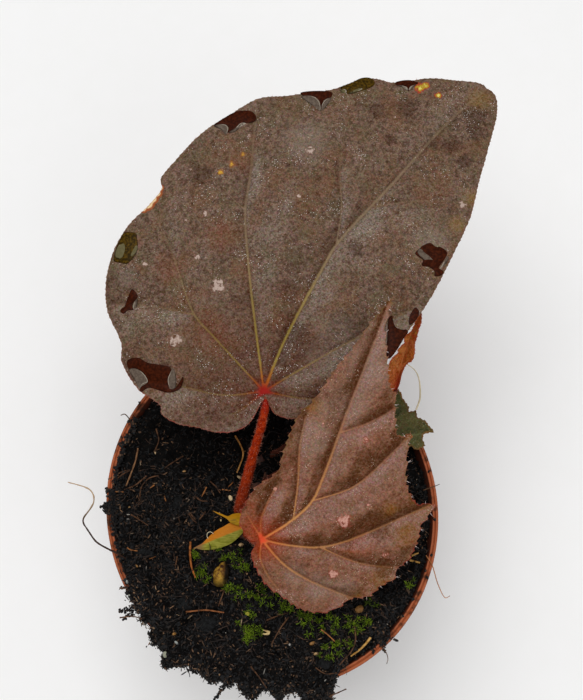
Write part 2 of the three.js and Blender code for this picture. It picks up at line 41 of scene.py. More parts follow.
# Camera
# It looks steeply down on the pot, 74 degrees below the horizon, from about 37 cm above the
# table, so that the big blade is seen almost face on. Lengths here are in mm.
MM = 0.001
CAMERA_PLACE = (4.9618, -42.6226, 367.1915)
CAMERA_DOWN = 74
FOCAL_PIXELS = 1150
PICTURE_HEIGHT = 700
SENSOR = 36
bpy.ops.object.camera_add(
    location=[c * MM for c in CAMERA_PLACE], rotation=(math.radians(90 - CAMERA_DOWN), 0, 0))
camera = bpy.context.object
camera.data.sensor_width = SENSOR
camera.data.lens = SENSOR * FOCAL_PIXELS / PICTURE_HEIGHT
camera.data.clip_start = 0.01
bpy.context.scene.camera = camera

# Table and light
# A pale matt table top under a big soft light straight overhead, with a white room round it.
TABLE_SIZE = 4.0
TABLE_SHADES = [(250, 250, 249), (253, 253, 253)]
ROOM_LIGHT = 0.44
LIGHTS = [  # place in mm, size in mm, watts
    ((-100, 150, 900), 640, 4.6),
    ((350, -500, 700), 500, 0.9),
]


class Wire:
    """A socket of a material. Sums on it, in either order, add the Math nodes that do them."""

    def __init__(self, finish, socket):
        self.finish = finish
        self.socket = socket

    def maths(self, operation, *values):
        inputs = dict(enumerate(values))
        return self.finish.node("ShaderNodeMath", {"operation": operation}, inputs)

    def __add__(self, other):
        return self.maths("ADD", self, other)

    def __radd__(self, other):
        return self.maths("ADD", other, self)

    def __sub__(self, other):
        return self.maths("SUBTRACT", self, other)

    def __rsub__(self, other):
        return self.maths("SUBTRACT", other, self)

    def __mul__(self, other):
        return self.maths("MULTIPLY", self, other)

    def __rmul__(self, other):
        return self.maths("MULTIPLY", other, self)

    def __truediv__(self, other):
        return self.maths("DIVIDE", self, other)

    def __pow__(self, other):
        return self.maths("POWER", self, other)

    def __gt__(self, other):
        return self.maths("GREATER_THAN", self, other)

    def __lt__(self, other):
        return self.maths("LESS_THAN", self, other)

    def rise(self, low, high, start=0.0, end=1.0):
        """Climbs smoothly from start to end as the value goes from low to high."""
        return self.finish.node(
            "ShaderNodeMapRange", {"interpolation_type": "SMOOTHSTEP"},
            {"Value": self, "From Min": low, "From Max": high, "To Min": start, "To Max": end})


def colour(red, green, blue):
    """A colour as it is read off a screen, 0 to 255, made linear for a shader."""
    parts = [c / 255 for c in (red, green, blue)]
    return [c / 12.92 if c <= 0.04045 else ((c + 0.055) / 1.055) ** 2.4 for c in parts] + [1.0]


class Finish:
    """One material. Fixed sockets are given by name, and what varies is joined with feed."""

    def __init__(self, name, **fixed):
        self.material = bpy.data.materials.new(name)
        self.material.use_nodes = True
        self.tree = self.material.node_tree
        self.shader = self.tree.nodes["Principled BSDF"]
        for socket, value in fixed.items():
            self.shader.inputs[socket.replace("_", " ")].default_value = value
        where = self.node("ShaderNodeTexCoord", out="Object")
        self.place = self.node(
            "ShaderNodeMapping", {}, {"Vector": where, "Scale": (1 / MM, 1 / MM, 1 / MM)})

    def node(self, kind, settings=None, inputs=None, out=None):
        made = self.tree.nodes.new(kind)
        for key, value in (settings or {}).items():
            if key == "stops":
                ramp = made.color_ramp.elements
                while len(ramp) < len(value):
                    ramp.new(1.0)
                for stop, (at, shade) in zip(ramp, value):
                    stop.position = at
                    stop.color = shade
            else:
                setattr(made, key, value)
        for key, value in (inputs or {}).items():
            if isinstance(value, Wire):
                self.tree.links.new(value.socket, made.inputs[key])
            else:
                made.inputs[key].default_value = value
        if out is None:
            out = next(s.name for s in made.outputs if s.enabled)
        found = [s for s in made.outputs if s.enabled and s.name == out]
        return Wire(self, found[0])

    def feed(self, **joined):
        for socket, value in joined.items():
            self.tree.links.new(value.socket, self.shader.inputs[socket.replace("_", " ")])

    def attribute(self, name):
        return self.node("ShaderNodeAttribute", {"attribute_name": name}, out="Fac")

    def grain(self, size, detail=3.0, rough=0.55, stretch=None, shift=(0, 0, 0)):
        """Soft random cloudiness from 0 to 1, with lumps about this many mm across."""
        where = self.place
        if stretch or shift != (0, 0, 0):
            where = self.node("ShaderNodeMapping", {}, {
                "Vector": self.place, "Scale": stretch or (1, 1, 1), "Location": shift})
        return self.node("ShaderNodeTexNoise", {}, {
            "Vector": where, "Scale": 1 / size, "Detail": detail, "Roughness": rough}, out="Fac")

    def cells(self, size, feature="F1", out="Distance", where=None):
        return self.node("ShaderNodeTexVoronoi", {"feature": feature}, {
            "Vector": where or self.place, "Scale": 1 / size}, out=out)

    def reading(self, axis):
        """The place along X, Y or Z, in mm."""
        return self.node("ShaderNodeSeparateXYZ", {}, {0: self.place}, out=axis)

    def toss(self, size):
        """A random number from 0 to 1 for each cell of this many mm."""
        return self.node("ShaderNodeSeparateColor", {}, {0: self.cells(size, out="Color")}, out="Red")

    def blend(self, share, low, high, how="MIX"):
        """Between two colours, by a share from 0 to 1."""
        made = self.tree.nodes.new("ShaderNodeMix")
        made.data_type = "RGBA"
        made.blend_type = how
        made.clamp_factor = True
        for index, value in ((0, share), (6, low), (7, high)):
            if isinstance(value, Wire):
                self.tree.links.new(value.socket, made.inputs[index])
            else:
                made.inputs[index].default_value = value
        return Wire(self, made.outputs[2])

    def relief(self, height, depth):
        """Bump for a height from 0 to 1 that stands for this many mm."""
        return self.node("ShaderNodeBump", {}, {
            "Height": height, "Distance": depth * MM, "Strength": 1.0}, out="Normal")


bpy.context.scene.view_settings.view_transform = "Standard"
bpy.ops.object.select_all(action="DESELECT")
bpy.ops.mesh.primitive_plane_add(size=TABLE_SIZE)
table = bpy.context.object
table.name = "table"
table_finish = Finish("pale_table", Roughness=0.9, Specular_IOR_Level=0.1)
table_finish.feed(Base_Color=table_finish.blend(
    table_finish.grain(9.0), *[colour(*shade) for shade in TABLE_SHADES]))
table.data.materials.append(table_finish.material)
room = bpy.context.scene.world or bpy.data.worlds.new("room")
bpy.context.scene.world = room
room.use_nodes = True
room.node_tree.nodes["Background"].inputs["Color"].default_value = (1.0, 1.0, 1.0, 1.0)
room.node_tree.nodes["Background"].inputs["Strength"].default_value = ROOM_LIGHT
for number, (spot, size, watts) in enumerate(LIGHTS):
    bpy.ops.object.light_add(type="AREA", location=[c * MM for c in spot])
    lamp = bpy.context.object
    lamp.name = f"soft_light_{number}"
    lamp.data.size = size * MM
    lamp.data.energy = watts
    lamp.rotation_euler = (-Vector(spot)).to_track_quat("-Z", "Y").to_euler()

# Pot
# A thin plastic nursery pot, terracotta coloured, moulded in one piece with an outward lip and six
# drain holes. It is soft, so its rim stands slightly oval.
RIM_RADIUS, BASE_RADIUS, POT_HEIGHT = 43.5, 30.0, 75.0
WALL, BOTTOM, LIP_WIDTH, LIP_DEPTH, GROOVE = 0.9, 1.4, 1.7, 3.4, 0.35
SQUEEZE, LONG_AXIS = 0.036, math.radians(109)
HOLES, HOLE_RADIUS, HOLE_CIRCLE = 6, 3.6, 21.0
WALL_SPREAD = RIM_RADIUS - LIP_WIDTH + WALL - BASE_RADIUS


def outer_radius(z):
    return BASE_RADIUS + WALL_SPREAD * z / POT_HEIGHT


def squeezed(points):
    """The oval of the rim, which fades towards the base. Takes and gives rows of x, y, z in mm."""
    share = SQUEEZE * points[:, 2] / POT_HEIGHT
    c, s = math.cos(LONG_AXIS), math.sin(LONG_AXIS)
    along = (points[:, 0] * c + points[:, 1] * s) * (1 + share)
    across = (points[:, 1] * c - points[:, 0] * s) * (1 - share)
    return np.column_stack([along * c - across * s, along * s + across * c, points[:, 2]])


def corners_of(piece):
    """A piece's vertices as rows of x, y, z in mm."""
    flat = np.empty(len(piece.data.vertices) * 3)
    piece.data.vertices.foreach_get("co", flat)
    return flat.reshape(-1, 3) / MM


def move_corners(piece, points):
    piece.data.vertices.foreach_set("co", (points * MM).ravel())
    piece.data.update()


def mark(piece, **values):
    """Stores a number at every vertex, for the piece's material to read."""
    for name, numbers in values.items():
        layer = piece.data.attributes.new(name, "FLOAT", "POINT")
        layer.data.foreach_set("value", np.asarray(numbers, np.float32))


def pick(piece):
    """Makes this the only selected object."""
    bpy.ops.object.select_all(action="DESELECT")
    piece.select_set(True)
    bpy.context.view_layer.objects.active = piece


def dress(piece, name, finish, slot, *nodes):
    """Names a finished piece, paints it and fixes it to the plant, in place of its CAD nodes."""
    piece.name = name
    piece.data.name = name
    piece.data.materials.clear()
    piece.data.materials.append(finish.material)
    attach(piece, "root")
    if nodes:
        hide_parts(*nodes)


def smooth_faces(piece, angle):
    pick(piece)
    bpy.ops.object.shade_smooth_by_angle(angle=math.radians(angle))


lip_middle = RIM_RADIUS - LIP_WIDTH / 2
inside_top = outer_radius(POT_HEIGHT) - WALL
pot_steps = [
    (outer_radius(0), 0.8), (outer_radius(24), 24), (outer_radius(48), 48),
    (outer_radius(POT_HEIGHT - LIP_DEPTH), POT_HEIGHT - LIP_DEPTH),
    (RIM_RADIUS - 0.2, POT_HEIGHT - LIP_DEPTH), (RIM_RADIUS, POT_HEIGHT - LIP_DEPTH + 0.4),
    (RIM_RADIUS, POT_HEIGHT - 0.4), (RIM_RADIUS - 0.12, POT_HEIGHT - 0.12),
    (RIM_RADIUS - 0.4, POT_HEIGHT), (lip_middle + 0.25, POT_HEIGHT),
    (lip_middle, POT_HEIGHT - GROOVE), (lip_middle - 0.25, POT_HEIGHT),
    (inside_top + 0.25, POT_HEIGHT), (inside_top, POT_HEIGHT - 0.3),
    (outer_radius(40) - WALL, 40), (outer_radius(BOTTOM) - WALL, BOTTOM),
]
bpy.ops.object.select_all(action="DESELECT")
bpy.ops.mesh.primitive_circle_add(
    vertices=168, radius=(outer_radius(0) - 0.8) * MM, fill_type="NGON")
pot = bpy.context.object
bpy.ops.object.mode_set(mode="EDIT")
bpy.ops.mesh.select_mode(type="FACE")
bpy.ops.mesh.select_all(action="SELECT")
radius, level = outer_radius(0) - 0.8, 0.0
for next_radius, next_level in pot_steps:
    bpy.ops.mesh.extrude_region_move(
        TRANSFORM_OT_translate={"value": (0, 0, (next_level - level) * MM)})
    bpy.ops.transform.resize(value=(next_radius / radius, next_radius / radius, 1))
    radius, level = next_radius, next_level
bpy.ops.mesh.select_all(action="SELECT")
bpy.ops.mesh.normals_make_consistent(inside=False)
bpy.ops.object.mode_set(mode="OBJECT")
pot.name = "plant_pot"
for hole in range(HOLES):
    bearing = (hole + 0.5) * 2 * math.pi / HOLES
    bpy.ops.object.select_all(action="DESELECT")
    bpy.ops.mesh.primitive_cylinder_add(
        vertices=28, radius=HOLE_RADIUS * MM, depth=4 * BOTTOM * MM,
        location=(HOLE_CIRCLE * MM * math.cos(bearing), HOLE_CIRCLE * MM * math.sin(bearing), 0))
    drill = bpy.context.object
    pick(pot)
    cut = pot.modifiers.new("drain", "BOOLEAN")
    cut.object = drill
    cut.operation = "DIFFERENCE"
    bpy.ops.object.modifier_apply(modifier=cut.name)
    bpy.data.objects.remove(drill)
pot_corners = corners_of(pot)
mark(pot, from_middle=np.hypot(pot_corners[:, 0], pot_corners[:, 1]))
move_corners(pot, squeezed(pot_corners))
smooth_faces(pot, 35)

pot_finish = Finish("terracotta_plastic", Roughness=0.6, Specular_IOR_Level=0.15)
from_middle = pot_finish.attribute("from_middle")
height = pot_finish.reading("Z")
plastic = pot_finish.blend(
    pot_finish.grain(14.0), colour(146, 76, 42), colour(172, 96, 60))
worn = pot_finish.grain(0.8, 5.0).rise(0.56, 0.70)
plastic = pot_finish.blend(worn * 0.35, plastic, colour(206, 132, 100))
ring_lines = from_middle.maths("SINE", from_middle * 9.0)
plastic = pot_finish.blend(
    ring_lines.rise(0.55, 1.0) * (height > 74) * 0.45, plastic, colour(150, 62, 34))
# The inner wall is painted dark brown: peat dirt, and painted shade inside the pot.
inner_side = (inside_top + 0.3 - from_middle).rise(-0.1, 0.25)
plastic = pot_finish.blend(inner_side * 0.92, plastic, colour(54, 22, 14))
smudge = pot_finish.grain(3.2, 6.0, 0.62)
dirt = smudge.rise(0.50, 0.66) * height.rise(66, 75)
plastic = pot_finish.blend(dirt * 0.85, plastic, colour(44, 26, 17))
dust = pot_finish.grain(22.0, 5.0, 0.6).rise(0.48, 0.75) * (1 - height.rise(10, 60))
plastic = pot_finish.blend(dust * 0.4, plastic, colour(120, 74, 52))
pot_finish.feed(
    Base_Color=plastic,
    Roughness=0.5 + 0.2 * smudge + 0.2 * dirt,
    Normal=pot_finish.relief(pot_finish.grain(1.1, 4.0) + dirt * 0.8, 0.12))
dress(pot, "plant_pot", pot_finish, "pot_plastic", "pot")

# Peat
# Black, damp, crumbly peat fills the pot and is heaped over the front of the rim, where it hangs
# in ragged clods. It is one mass: a fine crumbled top over the plug that fills the pot.
PEAT_LEVEL, FALL_BACK, FALL_RIGHT = 72.2, 0.085, 0.03
HEAP, HEAP_HEIGHT, HEAP_SPREAD = (-10.0, -38.5), 4.0, 17.0
PEAT_BUMP, PEAT_SPILL = 0.55, 0.8
PEAT_REACH = [  # bearing in degrees and mm from the middle: it spills over the front of the rim
    (0, 38), (200, 38), (205, 40.2), (208, 41.8), (212, 42.8), (216, 45.0), (220, 44.0), (226, 43.4),
    (230, 45.4), (234, 46.2), (238, 44.8), (242, 44.6), (248, 44.2), (252, 45.2), (256, 44.6),
    (260, 44.4), (263, 45.2), (267, 44.6), (271, 45.2), (276, 45.4), (280, 47.0), (286, 47.2),
    (290, 44.6), (294, 41.6), (298, 39.6), (303, 38), (360, 38),
]
# What lies on the peat is pressed a little into it: plan points and mm to each side.
STRAWS = {
    "straw_left": ([(-35.0, 15.2), (-35.2, 12.0), (-35.8, 9.6), (-37.4, 5)], 0.24),
    "straw_pale": ([(-9.8, 19), (-7.6, 14), (-9.2, 9)], 0.24),
    "straw_heel": ([(-20.5, -9.2), (-20.5, -12.5), (-20.1, -15.4), (-18.9, -18.2)], 0.3),
    "straw_front": ([(-21.0, -26.6), (-16.4, -26.2), (-11.6, -26.8)], 0.24),
}
HUSK_PLACE, HUSK_RADII, HUSK_TURN = (-12.4, -17.2, 76.1), (2.0, 3.3, 1.5), -14
PRESSED = [(path, 1.0) for path, _ in STRAWS.values()] + [
    ([(-12.2, -15), (-13.2, -19.5)], 2.2), ([(-3.8, -31.1), (0.2, -31.7)], 1.4),
    ([(-8, -4.6), (-13.5, -4.4)], 1.6), ([(-6, -7.6), (-19, -10.4)], 1.8)]
RIM_GAP = 0.35  # between the peat and the pot


def peat_level(x, y):
    """Height of the peat before it is crumbled."""
    heap = HEAP_HEIGHT * np.exp(-((x - HEAP[0]) ** 2 + (y - HEAP[1]) ** 2) / (2 * HEAP_SPREAD ** 2))
    bumps = np.sin(0.61 * x + 0.8) * np.sin(0.53 * y) + 0.6 * np.sin(1.15 * x - 0.9 * y + 2)
    spill = PEAT_SPILL * np.maximum(0, np.hypot(x, y) - RIM_RADIUS)
    return PEAT_LEVEL - FALL_BACK * y - FALL_RIGHT * x + heap + PEAT_BUMP * bumps - spill


def smooth_step(low, high, value):
    t = np.clip((value - low) / (high - low), 0, 1)
    return t * t * (3 - 2 * t)


def peat_reach(bearing):
    """How far the peat reaches from the middle of the pot, by bearing in degrees."""
    reach = np.empty_like(bearing)
    for (at, low), (to, high) in zip(PEAT_REACH, PEAT_REACH[1:]):
        here = (bearing >= at) & (bearing <= to)
        reach[here] = low + (high - low) * smooth_step(at, to, bearing[here])
    return reach


def clods(x, y, size, seed):
    """Rounded lumps about this many mm across, from 0 in the gaps to 1 on top."""
    found = [noise.voronoi(Vector((a / size, b / size, seed)))[0] for a, b in zip(x, y)]
    return np.array([1 - min(1.0, d[0] * 1.25) ** 2 for d in found])


def clouds(x, y, size, seed):
    return np.array([noise.noise(Vector((a / size, b / size, seed))) for a, b in zip(x, y)])


def solid_mesh(name, points, faces):
    """A new mesh object from rows of x, y, z in mm."""
    data = bpy.data.meshes.new(name)
    data.from_pydata((points * MM).tolist(), [], faces)
    made = bpy.data.objects.new(name, data)
    bpy.context.scene.collection.objects.link(made)
    return made


# A square net is wrapped on the round pot, so that its cells stay about the same size.
PEAT_CELLS = 236
SPILL_STARTS, SPILL_FULL = 38.6, 43  # mm of reach
BANK_LEFT, BANK_RIGHT = 2.6, 2.0  # mm that the peat stands higher beside the wall
steps = np.linspace(-1, 1, PEAT_CELLS + 1)
net_x, net_y = [a.ravel() for a in np.meshgrid(steps, steps)]
ring = np.maximum(abs(net_x), abs(net_y))
safe_x, safe_y = np.where(net_x == 0, 1e-9, net_x), np.where(net_y == 0, 1e-9, net_y)
flat = abs(net_x) >= abs(net_y)
turn = np.where(
    flat, math.pi / 4 * net_y / safe_x + np.where(net_x < 0, math.pi, 0),
    math.pi / 2 - math.pi / 4 * net_x / safe_y + np.where(net_y < 0, math.pi, 0))
bearing = np.degrees(turn) % 360
reach = peat_reach(bearing)
inner = inside_top - RIM_GAP
ragged = clouds(np.cos(turn) * 40, np.sin(turn) * 40, 2.6, 5.0) * 2.6
spilled = smooth_step(SPILL_STARTS, SPILL_FULL, reach)
edge_radius = np.where(reach > inner, reach + ragged * spilled, inner)
outer_edge = np.maximum(edge_radius, inner)
peat_radius = ring * outer_edge
flat_place = squeezed(np.column_stack([
    peat_radius * np.cos(turn), peat_radius * np.sin(turn), np.full(len(turn), POT_HEIGHT)]))
top_x, top_y = flat_place[:, 0], flat_place[:, 1]
crumbled = (
    1.9 * (clods(top_x, top_y, 6.5, 0.3) - 0.55) + 1.3 * (clods(top_x, top_y, 2.9, 3.1) - 0.55)
    + 0.75 * (clods(top_x, top_y, 1.25, 7.7) - 0.5) + 0.3 * clouds(top_x, top_y, 0.6, 2.2))
for path, width in PRESSED:
    for (ax, ay), (bx, by) in zip(path, path[1:]):
        share = np.clip(((top_x - ax) * (bx - ax) + (top_y - ay) * (by - ay)) / (
            (bx - ax) ** 2 + (by - ay) ** 2), 0, 1)
        away = np.hypot(top_x - ax - share * (bx - ax), top_y - ay - share * (by - ay))
        crumbled = np.where(away < 2 * width, np.minimum(
            crumbled, -0.15 + 3 * smooth_step(width, 2 * width, away)), crumbled)
bank = smooth_step(inner - 7, inner - 1, peat_radius) * (
    BANK_LEFT * smooth_step(0.1, 0.75, -np.cos(turn)) + BANK_RIGHT * smooth_step(0.2, 0.8, np.cos(turn)))
peat_top = peat_level(top_x, top_y) + crumbled + bank
over_rim = (peat_radius > inside_top - 0.6) & (peat_radius < RIM_RADIUS + 0.3)
peat_top = np.where(over_rim & (spilled > 0.05), np.maximum(peat_top, POT_HEIGHT + 0.45), peat_top)
near_wall = smooth_step(inner - 2.2, inner, peat_radius) * (spilled < 0.05)
peat_top = np.minimum(peat_top, np.where(near_wall > 0.3, POT_HEIGHT - 0.6, 1e3))
snug = np.minimum(1, (outer_radius(peat_top) - WALL - 0.3) / np.maximum(peat_radius, 1))
snug = np.where(spilled < 0.05, snug, 1)  # the peat stays inside the slanting wall
top_x, top_y = top_x * snug, top_y * snug
net = PEAT_CELLS + 1
index = np.arange(net * net).reshape(net, net)
peat_faces = np.column_stack([
    index[:-1, :-1].ravel(), index[:-1, 1:].ravel(), index[1:, 1:].ravel(), index[1:, :-1].ravel()
]).tolist()
border = np.concatenate([index[0, :-1], index[:-1, -1], index[-1, :0:-1], index[:0:-1, 0]])
points = [np.column_stack([top_x, top_y, peat_top])]
count = len(top_x)
outline = points[0][border]
out_of_pot = outer_edge[border] > RIM_RADIUS + 0.2
under_lip = outline[:, 2] - np.where(out_of_pot, 1.6, 1.0)
under_lip = np.where(out_of_pot, np.minimum(POT_HEIGHT - LIP_DEPTH, under_lip), under_lip)
in_wall = np.where(out_of_pot, inner, np.minimum(inner, outer_radius(under_lip) - WALL - RIM_GAP))
smoother = sum(np.roll(outline, shift, 0) for shift in range(-5, 6)) / 11
turn_b = turn[border]


def ring_at(radius, height):
    return squeezed(np.column_stack([radius * np.cos(turn_b), radius * np.sin(turn_b), height]))


def side_ring(share):
    """The spilled side, this share of the way down: as rough as the top, and less like its edge."""
    mixed = outline * (1 - share) + smoother * share
    bulge = np.where(out_of_pot, 1 + 0.028 * clouds(mixed[:, 0], mixed[:, 1], 1.3, 9 + 3 * share), 0.995)
    return np.column_stack([mixed[:, :2] * bulge[:, None], outline[:, 2] * (1 - share) + under_lip * share])


beside_lip = np.where(out_of_pot, RIM_RADIUS + 0.35, in_wall)
even = np.ones(len(border))
lower_rings = [
    side_ring(0.2), side_ring(0.4), side_ring(0.6), side_ring(0.8),
    np.column_stack([outline[:, :2] * 0.99, under_lip]),
    ring_at(beside_lip, under_lip),
    ring_at(beside_lip, np.where(out_of_pot, POT_HEIGHT + 0.3, under_lip - 0.2)),
    ring_at(in_wall, np.where(out_of_pot, POT_HEIGHT + 0.3, under_lip - 0.4)),
    ring_at(even * (outer_radius(60) - WALL - RIM_GAP), even * 60),
    ring_at(even * (outer_radius(BOTTOM) - WALL - RIM_GAP), even * (BOTTOM + 0.3)),
]
previous = border
for lower in lower_rings:
    points.append(lower)
    here = count + np.arange(len(border))
    count += len(border)
    peat_faces += np.column_stack([
        previous, here, np.roll(here, -1), np.roll(previous, -1)]).tolist()
    previous = here
peat_faces.append(previous[::-1].tolist())
peat = solid_mesh("peat", np.vstack(points), peat_faces)
depth = np.concatenate([crumbled, np.full(count - len(crumbled), -1.0)])
mark(peat, depth=depth)
pick(peat)
bpy.ops.object.mode_set(mode="EDIT")
bpy.ops.mesh.select_all(action="SELECT")
bpy.ops.mesh.normals_make_consistent(inside=False)
bpy.ops.object.mode_set(mode="OBJECT")
smooth_faces(peat, 60)

peat_finish = Finish("black_peat", Roughness=0.85, Specular_IOR_Level=0.12)
deep = peat_finish.attribute("depth")
crumb = peat_finish.grain(0.7, 6.0, 0.65)
patch = peat_finish.grain(7.0, 3.0)
peat_shade = peat_finish.node("ShaderNodeValToRGB", {"stops": [
    (0.34, colour(2, 2, 3)), (0.52, colour(8, 7, 7)), (0.62, colour(24, 18, 14)),
    (0.74, colour(58, 42, 31))]}, {0: crumb}, out="Color")
# Painted shade: the peat is darker in the gaps between its crumbled lumps and darkest down its sides.
peat_shade = peat_finish.blend(deep.rise(-1.6, 0.6) * -0.75 + 0.75, peat_shade, colour(3, 2, 2))
fleck = peat_finish.cells(0.55) < 0.16
rare = peat_finish.toss(0.55) > 0.86
peat_shade = peat_finish.blend(fleck * rare * patch.rise(0.4, 0.6), peat_shade, colour(120, 94, 66))
peat_shade = peat_finish.blend(1.0, peat_shade, 0.55 + peat_finish.toss(0.32) * 0.9, "MULTIPLY")
peat_finish.feed(
    Base_Color=peat_shade,
    Roughness=0.62 + 0.35 * crumb,
    Normal=peat_finish.relief(crumb + peat_finish.grain(0.25, 3.0) * 0.4, 0.55))
dress(peat, "peat", peat_finish, "peat", "soil")

# Creeping stem
# The short brown rhizome lies half buried and carries the stalks. Its skin is knotted where old
# leaves have dropped.
STEM_PATH = [(-3, 17, 67), (-3, 11.5, 68.6), (-4.6, 4, 69.6), (-6.6, -3, 71.2), (-8.4, -8.4, 72.6)]
STEM_RADII = (2.6, 2.8)


def smooth_through(corners, step, closed=False):
    """Points about a step apart on the smooth curve that passes through every corner."""
    corners = np.asarray(corners, float)
    count = len(corners)
    curve = []
    for i in range(count if closed else count - 1):
        here, there = corners[i], corners[(i + 1) % count]
        before = corners[i - 1] if closed or i else 2 * here - there
        after = corners[(i + 2) % count] if closed or i + 2 < count else 2 * there - here
        gaps = [math.sqrt(np.linalg.norm(b - a)) for a, b in (
            (before, here), (here, there), (there, after))]
        lead = ((here - before) / gaps[0] - (there - before) / (gaps[0] + gaps[1])
                + (there - here) / gaps[1]) * gaps[1]
        trail = ((there - here) / gaps[1] - (after - here) / (gaps[1] + gaps[2])
                 + (after - there) / gaps[2]) * gaps[1]
        pieces = max(1, round(np.linalg.norm(there - here) / step))
        t = (np.arange(pieces) / pieces)[:, None]
        curve.append(
            (2 * t ** 3 - 3 * t ** 2 + 1) * here + (t ** 3 - 2 * t ** 2 + t) * lead
            + (3 * t ** 2 - 2 * t ** 3) * there + (t ** 3 - t ** 2) * trail)
    if not closed:
        curve.append(corners[-1:])
    return np.vstack(curve)


def rods(runs, sides):
    """Round tapered lengths, each given by its points, its radius at the root and at the tip."""
    bpy.ops.object.select_all(action="DESELECT")
    bpy.ops.curve.primitive_nurbs_path_add()
    made = bpy.context.object
    made.data.splines.clear()
    for points, root, tip in runs:
        run = made.data.splines.new("POLY")
        run.points.add(len(points) - 1)
        share = np.linspace(0, 1, len(points))
        run.points.foreach_set("co", np.column_stack([points * MM, np.ones(len(points))]).ravel())
        run.points.foreach_set("radius", root + (tip - root) * share)
    made.data.bevel_depth = MM
    made.data.bevel_resolution = sides // 2 - 2
    made.data.use_fill_caps = True
    bpy.ops.object.convert(target="MESH")
    made = bpy.context.object
    smooth_faces(made, 50)
    return made


def swell(piece, depth, size, seed):
    """Pushes the surface in and out by up to this many mm, in soft lumps."""
    points = corners_of(piece)
    normals = np.array([v.normal[:] for v in piece.data.vertices])
    push = np.array([noise.noise(Vector(p / size) + Vector((seed, 0, 0))) for p in points])
    move_corners(piece, points + normals * (push * depth)[:, None])


stem = rods([(smooth_through(STEM_PATH, 0.5), *STEM_RADII)], 20)
swell(stem, 0.9, 2.2, 3)
stem_finish = Finish("rhizome_skin", Roughness=0.6)
skin = stem_finish.grain(0.9, 5.0)
stem_finish.feed(
    Base_Color=stem_finish.node("ShaderNodeValToRGB", {"stops": [
        (0.3, colour(28, 14, 9)), (0.5, colour(66, 34, 22)), (0.7, colour(112, 66, 40))]},
        {0: skin}, out="Color"),
    Roughness=0.5 + 0.3 * skin, Normal=stem_finish.relief(skin, 0.4))
dress(stem, "creeping_rhizome", stem_finish, "stem_skin", "creeping_stem")

# Stalks
# Four juicy stalks. The large and the front leaf's are thick, red-brown and haired. The other two
# are thinner and lie lower, partly in the dark under the leaves.
STALKS = {
    "large_leaf_stalk": (
        [(-9.1, -3.4, 68.6), (-8.5, -0.8, 72.4), (-5.4, 8, 84.5), (-1.3, 20.4, 98.8), (-1.2, 22.5, 101)],
        1.6, 0.85, 900),
    "front_leaf_stalk": (
        [(-6.6, -5.4, 70.4), (-5.6, -7.4, 76), (-3.2, -10.2, 86), (-2.3, -10.9, 89.3)], 1.6, 1.15, 320),
    "young_leaf_stalk": (
        [(-3.6, 12, 68.2), (3, 15.4, 73), (14, 19.6, 78.6), (24, 22.8, 81.8), (29.4, 24.6, 82.8),
         (31.3, 27.8, 85.4)], 0.7, 0.7, 160),
    "green_leaf_stalk": (
        [(-4.4, 6, 69), (1.5, 8.6, 73.6), (13, 13, 77), (23.6, 16.3, 79), (25.6, 16.9, 80.4)],
        0.65, 0.6, 140),
}


def copies(name, pattern, turns, places, tones=None):
    """One mesh with a copy of the pattern, given in mm, at each place. The pattern is used up."""
    shape = corners_of(pattern)
    loops = [list(face.vertices) for face in pattern.data.polygons]
    points = (np.einsum("nij,vj->nvi", turns, shape) + places[:, None, :]).reshape(-1, 3)
    faces = [[v + k * len(shape) for v in loop] for k in range(len(places)) for loop in loops]
    bpy.data.objects.remove(pattern)
    made = solid_mesh(name, points, faces)
    mark(made, along=np.tile(shape[:, 2], len(places)))
    if tones is not None:
        mark(made, tone=np.repeat(tones, len(shape)))
    return made


def aimed(directions, widths, lengths):
    """For each copy, the turn and stretch that puts its Z along a direction."""
    ahead = directions / np.linalg.norm(directions, axis=1)[:, None]
    other = np.where(abs(ahead[:, 2:3]) < 0.9, [[0.0, 0.0, 1.0]], [[1.0, 0.0, 0.0]])
    across = np.cross(other, ahead)
    across /= np.linalg.norm(across, axis=1)[:, None]
    third = np.cross(ahead, across)
    widths, lengths = np.asarray(widths)[:, None], np.asarray(lengths)[:, None]
    return np.stack([across * widths, third * widths, ahead * lengths], axis=2)


def hairs(name, roots, directions, lengths, thickness):
    """Fine tapered hairs standing on their roots."""
    bpy.ops.object.select_all(action="DESELECT")
    bpy.ops.mesh.primitive_cone_add(vertices=3, radius1=MM, depth=MM, location=(0, 0, 0.5 * MM))
    bpy.ops.object.transform_apply()
    pattern = bpy.context.object
    widths = np.full(len(roots), thickness)
    return copies(name, pattern, aimed(directions, widths, lengths), roots)


def stalk_finish(name, deep_shade, light_shade, low_shade, low_share):
    """Skin of a stalk: streaked, with painted shade low down, and redder where it meets the large blade."""
    skin = Finish(name, Roughness=0.5, Specular_IOR_Level=0.06)
    height = skin.reading("Z")
    streak = skin.grain(1.0, 5.0, 0.65)
    shade = skin.blend(streak.rise(0.35, 0.65), colour(*deep_shade), colour(*light_shade))
    # Painted shade towards the low end of the stalk, under the leaves.
    shade = skin.blend(height.rise(92, 72) * low_share, shade, colour(*low_shade))
    shade = skin.blend(height.rise(97.5, 100.5) * 0.8, shade, colour(150, 24, 18))
    skin.feed(
        Base_Color=shade, Roughness=0.35 + 0.3 * streak,
        Normal=skin.relief(skin.grain(0.5, 4.0), 0.15))
    return skin


